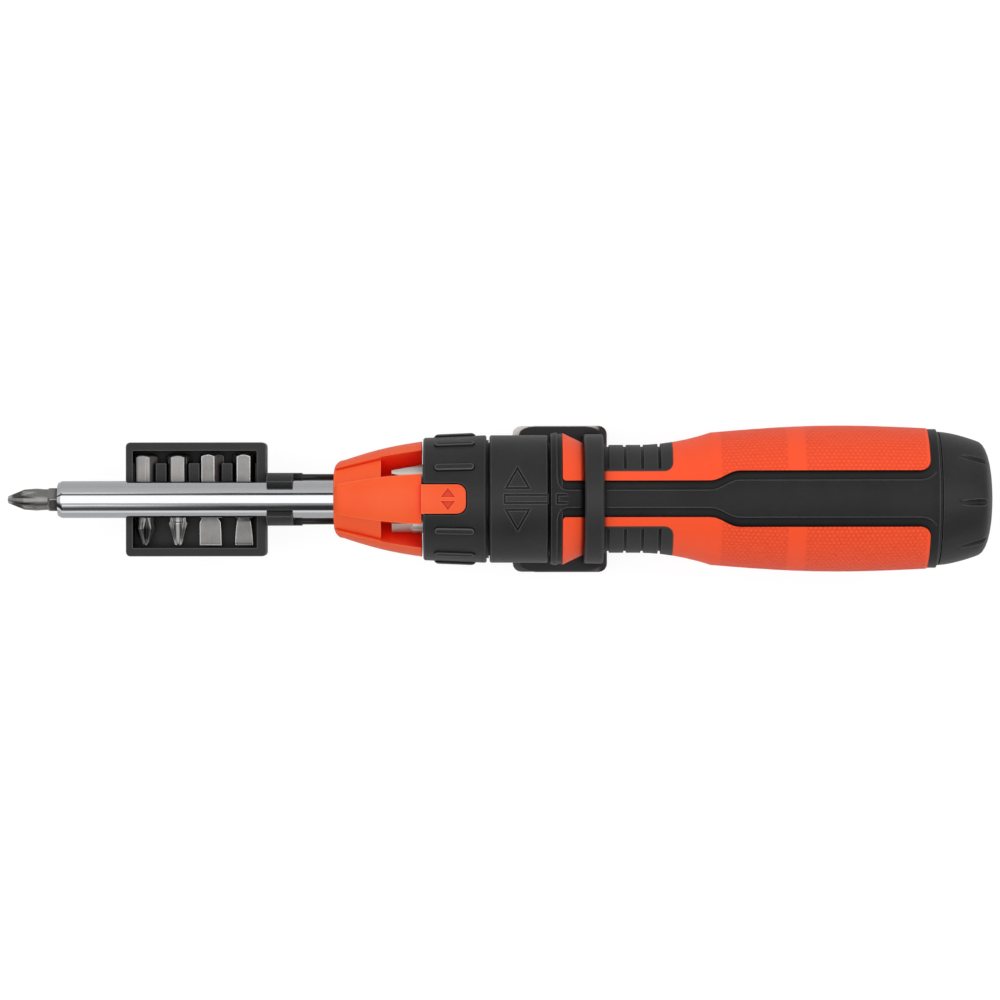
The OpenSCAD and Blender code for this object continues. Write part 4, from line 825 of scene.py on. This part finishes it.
def bit_blank(blank, front):
    """Spins a blank with close rings where the flutes come, and at both ends of the hexagon."""
    places = [front * i / 80 for i in range(81)] + [front + 0.15 * MM * i for i in range(1, 9)]
    places += [BIT_LEN - 0.2 * MM * i for i in range(6, -1, -1)]
    return spun([(0, 0)] + [(x, read_line(blank, x)) for x in places] + [(BIT_LEN, 0)], BIT_TURNS)


# %% Where the flutes and the hexagon lie
def lesser(first, second, blend=0.05 * MM):
    """The lesser of two radii, with the corner between them rounded."""
    least = min(first, second)
    shares = math.exp((least - first) / blend) + math.exp((least - second) / blend)
    return least - blend * math.log(shares)


def flute_radius(floor, x, off_wing):
    """Where a flute's wall lies, seen from the bit's axis, at an angle off a wing's middle."""
    off_flute = math.radians(abs((off_wing % 90) - 45))
    return read_line(floor, x) / max(math.cos(off_flute) - math.sin(off_flute), 0.05)


def hex_radius(off_corner):
    return HEX_HALF / math.cos(math.radians((off_corner % 60) - 30))


def corner_turn(node, tip, side):
    """The angle off the top at which a bit's solid has a corner of its hexagon."""
    spots = [vert.co - tip for vert in frame["nodes"][node].data.vertices]
    furthest = max(spots, key=lambda spot: math.hypot(spot.dot(side), spot.dot(UP)))
    return math.degrees(math.atan2(furthest.dot(side), furthest.dot(UP)))


# %% One cross-tip bit
def cross_bit(node, name, way, side, blank, floor, front, wing):
    """Builds a bit that points against way, with one wing at the angle wing off the top."""
    tip = (low(node) + high(node)) / 2 - way * (BIT_LEN / 2)
    corner = corner_turn(node, tip, side)
    bm = bit_blank(blank, front)
    wing_layer = bm.verts.layers.float.new("off_wing")
    tip_layer = bm.verts.layers.float.new("from_tip")
    for vert in bm.verts:
        x, across, height = vert.co
        angle, radius = math.atan2(across, height), math.hypot(across, height)
        turn = math.degrees(angle)
        if radius > 0.01 * MM:
            radius = lesser(radius, flute_radius(floor, x, turn - wing))
            if x >= front:
                radius = lesser(radius, hex_radius(turn - corner))
        vert.co = (tip + way * x + side * (radius * math.sin(angle))
                   + UP * (radius * math.cos(angle)))
        past_wing = math.radians(45 - abs((turn - wing) % 90 - 45))
        vert[wing_layer] = radius * math.sin(past_wing)
        vert[tip_layer] = x
    bmesh.ops.recalc_face_normals(bm, faces=bm.faces)
    piece = settle(bm, name, node, smooth_over=70.0)
    print(name, "has", len(piece.data.polygons), "faces, a corner at", round(corner, 1))


# %% The bit in use and two of the tray's bits
cross_bit("fitted_bit", "bit_in_use", X_AXIS, Y_AXIS,
          blank_line(4.6 * MM, 2.8 * MM, 3.05 * MM, 2.88 * MM, FITTED_FRONT),
          SHALLOW_FLUTE, FITTED_FRONT, -5)
cross_bit("tray_bit_phillips_short", "tray_bit_one", Y_AXIS, X_AXIS,
          blank_line(4.6 * MM, 2.85 * MM, 2.6 * MM, 2.55 * MM, TRAY_FRONT),
          DEEP_FLUTE, TRAY_FRONT, -30)
cross_bit("tray_bit_phillips_long", "tray_bit_two", Y_AXIS, X_AXIS,
          blank_line(6 * MM, 2.85 * MM, 2.6 * MM, 2.55 * MM, TRAY_FRONT),
          DEEP_FLUTE, TRAY_FRONT, 0)

# %% [markdown]
# ## The chromed shaft
#
# The shaft is a drawn tube, chromed and polished. It mirrors the whole room in long straight
# bands, so it must be truly round: its outline is drawn once and spun in fine steps. A tube made
# of fewer sides would break the bands, and without the extra ring just behind the mouth the
# smoothed chamfer would tilt the mirror over the tube's whole length.

# %% The chromed shaft
SHAFT_STEPS = 160
SHAFT_BORE_R = 4.2 * MM
MOUTH_CHAMFER = 1.1 * MM
MOUTH_ROUND = 0.3 * MM
shaft_outline = [
    (SHAFT_X0, SHAFT_BORE_R),
    (SHAFT_X0, SHAFT_R - MOUTH_CHAMFER * 0.5 - MOUTH_ROUND),
    (SHAFT_X0 + 0.1 * MM, SHAFT_R - MOUTH_CHAMFER * 0.5),
    (SHAFT_X0 + MOUTH_CHAMFER - 0.1 * MM, SHAFT_R - 0.06 * MM),
    (SHAFT_X0 + MOUTH_CHAMFER + 0.1 * MM, SHAFT_R),
    (SHAFT_X0 + MOUTH_CHAMFER + 0.4 * MM, SHAFT_R),
    (SHAFT_X1, SHAFT_R),
    (SHAFT_X1, SHAFT_BORE_R),
]
settle(spun(shaft_outline, SHAFT_STEPS), "polished_shaft", "shaft_tube", smooth_over=30.0,
       weighted=False)
print("Shaft sides:", SHAFT_STEPS)

# %% [markdown]
# ## Floor, light and camera
#
# The photograph is a studio shot on white, taken from straight above. A wide soft light hangs
# overhead: the shaft mirrors it as a white band. Dark flags beside it give the shaft its two dark
# lines, and the rest of the room is light grey.

# %% The floor
FLOOR_HALF = 900 * MM


def white_floor():
    """A floor that lights the tool as a grey one would, and looks white but for the shadow."""
    material = base_material("white_floor")
    tree, shader = parts_of(material)
    place = add(tree, "ShaderNodeTexCoord").outputs["Object"]
    mottle = add(tree, "ShaderNodeTexNoise", {"Vector": place}, Scale=12.0).outputs["Fac"]
    seen = add(tree, "ShaderNodeLightPath").outputs["Is Camera Ray"]
    grey = blend_colour(tree, mottle, (0.72, 0.72, 0.72, 1), (0.76, 0.76, 0.76, 1))
    faint = blend_colour(tree, mottle, (0.14, 0.14, 0.14, 1), (0.15, 0.15, 0.15, 1))
    tree.links.new(blend_colour(tree, seen, grey, faint), shader.inputs["Base Color"])
    shader.inputs["Roughness"].default_value = 0.9
    shader.inputs["Specular IOR Level"].default_value = 0.0
    shader.inputs["Emission Color"].default_value = (1, 1, 1, 1)
    tree.links.new(product(tree, seen, 0.9), shader.inputs["Emission Strength"])
    return material


bm = bmesh.new()
bmesh.ops.create_grid(bm, x_segments=2, y_segments=2, size=FLOOR_HALF)
bmesh.ops.translate(bm, verts=bm.verts, vec=(TOOL_MIDDLE_X, 0, FLOOR_Z))
floor_mesh = bpy.data.meshes.new("studio_floor")
bm.to_mesh(floor_mesh)
bm.free()
floor_mesh.materials.append(white_floor())
studio_floor = bpy.data.objects.new("studio_floor", floor_mesh)
bpy.context.scene.collection.objects.link(studio_floor)
print("Floor at", round(FLOOR_Z, 5))

# %% [markdown]
# ## The room
#
# The shaft mirrors the room by the angle round the tool's axis alone, so the room is laid out by
# that angle. Its dark flags are cut on a slant: seen from the bit's end they are narrow with light
# behind them, seen from the nose they are wide. Each end has its own list of greys.

# %% The room
ROOM_AT_BIT = [
    (-180, 1.2), (-115, 1.0), (-90, 1.2), (-82, 1.45), (-76, 1.0), (-72, 0.2), (-56, 0.14),
    (-47, 0.6), (-41, 1.5), (-35, 2.0), (-30, 0.8), (-27, 0.3), (-25, 1.1), (25, 1.1),
    (27.5, 0.24), (34, 0.24), (37, 1.6), (41, 1.5), (46, 0.9), (60, 0.86), (90, 0.76), (180, 1.15)]
ROOM_AT_NOSE = [
    (-180, 1.2), (-115, 1.0), (-90, 1.2), (-82, 1.45), (-76, 1.2), (-72, 0.07), (-47, 0.04),
    (-40, 0.10), (-35, 0.50), (-30, 0.50), (-27, 0.28), (-25, 1.1), (25, 1.1), (27.5, 0.07),
    (39, 0.07), (42, 1.0), (60, 0.86), (90, 0.76), (180, 1.15)]
SLANT_X0 = -0.061            # between these two ways along X the one room passes into the other
SLANT_X1 = -0.078
BIT_ROOM_END = -0.12


def room_ramp(tree, share, stops):
    ramp = add(tree, "ShaderNodeValToRGB", {"Fac": share})
    elements = ramp.color_ramp.elements
    while len(elements) < len(stops):
        elements.new(0.5)
    for element, (degrees, grey) in zip(elements, stops):
        element.position = degrees / 360 + 0.5
        element.color = (grey, grey, grey, 1)
    return ramp.outputs["Color"]


def make_room():
    """A light grey room with dark flags, laid out by the angle round the tool's axis."""
    world = bpy.data.worlds.new("studio_room")
    bpy.context.scene.world = world
    world.use_nodes = True
    tree = world.node_tree
    back = tree.nodes["Background"]
    seen_way = add(tree, "ShaderNodeTexCoord").outputs["Generated"]
    way = add(tree, "ShaderNodeVectorMath", {0: seen_way}, operation="NORMALIZE").outputs[0]
    parts = add(tree, "ShaderNodeSeparateXYZ", {"Vector": way}).outputs
    angle = maths(tree, "ARCTAN2", parts["Y"], parts["Z"])
    share = maths(tree, "ADD", maths(tree, "DIVIDE", angle, 2 * math.pi), 0.5)
    at_bit = product(tree, map_range(tree, parts["X"], SLANT_X0, SLANT_X1),
                     maths(tree, "GREATER_THAN", parts["X"], BIT_ROOM_END))
    greys = blend_colour(tree, at_bit, room_ramp(tree, share, ROOM_AT_NOSE),
                         room_ramp(tree, share, ROOM_AT_BIT))
    seen = add(tree, "ShaderNodeLightPath").outputs["Is Camera Ray"]
    tree.links.new(blend_colour(tree, seen, greys, (1, 1, 1, 1)), back.inputs["Color"])
    back.inputs["Strength"].default_value = 1.0


make_room()
print("Greys round the tool:", len(ROOM_AT_BIT), "and", len(ROOM_AT_NOSE))

# %% The softbox
LAMP_HEIGHT = 2.0
LAMP_LENGTH = 4.0
LAMP_WIDTH = 1.72
LAMP_POWER = 23
lamp_data = bpy.data.lights.new("overhead_softbox", "AREA")
lamp_data.shape = "RECTANGLE"
lamp_data.size = LAMP_LENGTH
lamp_data.size_y = LAMP_WIDTH
lamp_data.energy = LAMP_POWER
lamp = bpy.data.objects.new("overhead_softbox", lamp_data)
lamp.location = (TOOL_MIDDLE_X, 0, LAMP_HEIGHT)
bpy.context.scene.collection.objects.link(lamp)
print("Softbox:", LAMP_LENGTH, "by", LAMP_WIDTH, "m")

# %% The camera
FRAME_WIDTH = 276 * MM       # what the picture's width shows at the tool's axis
CAMERA_HEIGHT = 1.36
CAMERA_X = 122 * MM
CAMERA_Y = -0.28 * MM
CAMERA_ROLL = math.radians(-0.075)
SENSOR = 36.0
camera_data = bpy.data.cameras.new("camera")
camera_data.sensor_width = SENSOR
camera_data.lens = SENSOR * CAMERA_HEIGHT / FRAME_WIDTH
camera_data.clip_start = 0.05
camera_data.clip_end = 20
camera = bpy.data.objects.new("camera", camera_data)
camera.location = (CAMERA_X, CAMERA_Y, CAMERA_HEIGHT)
camera.rotation_euler = (0, 0, CAMERA_ROLL)
bpy.context.scene.collection.objects.link(camera)
bpy.context.scene.camera = camera
bpy.context.scene.view_settings.view_transform = "Standard"
print("Lens:", round(camera_data.lens, 1))
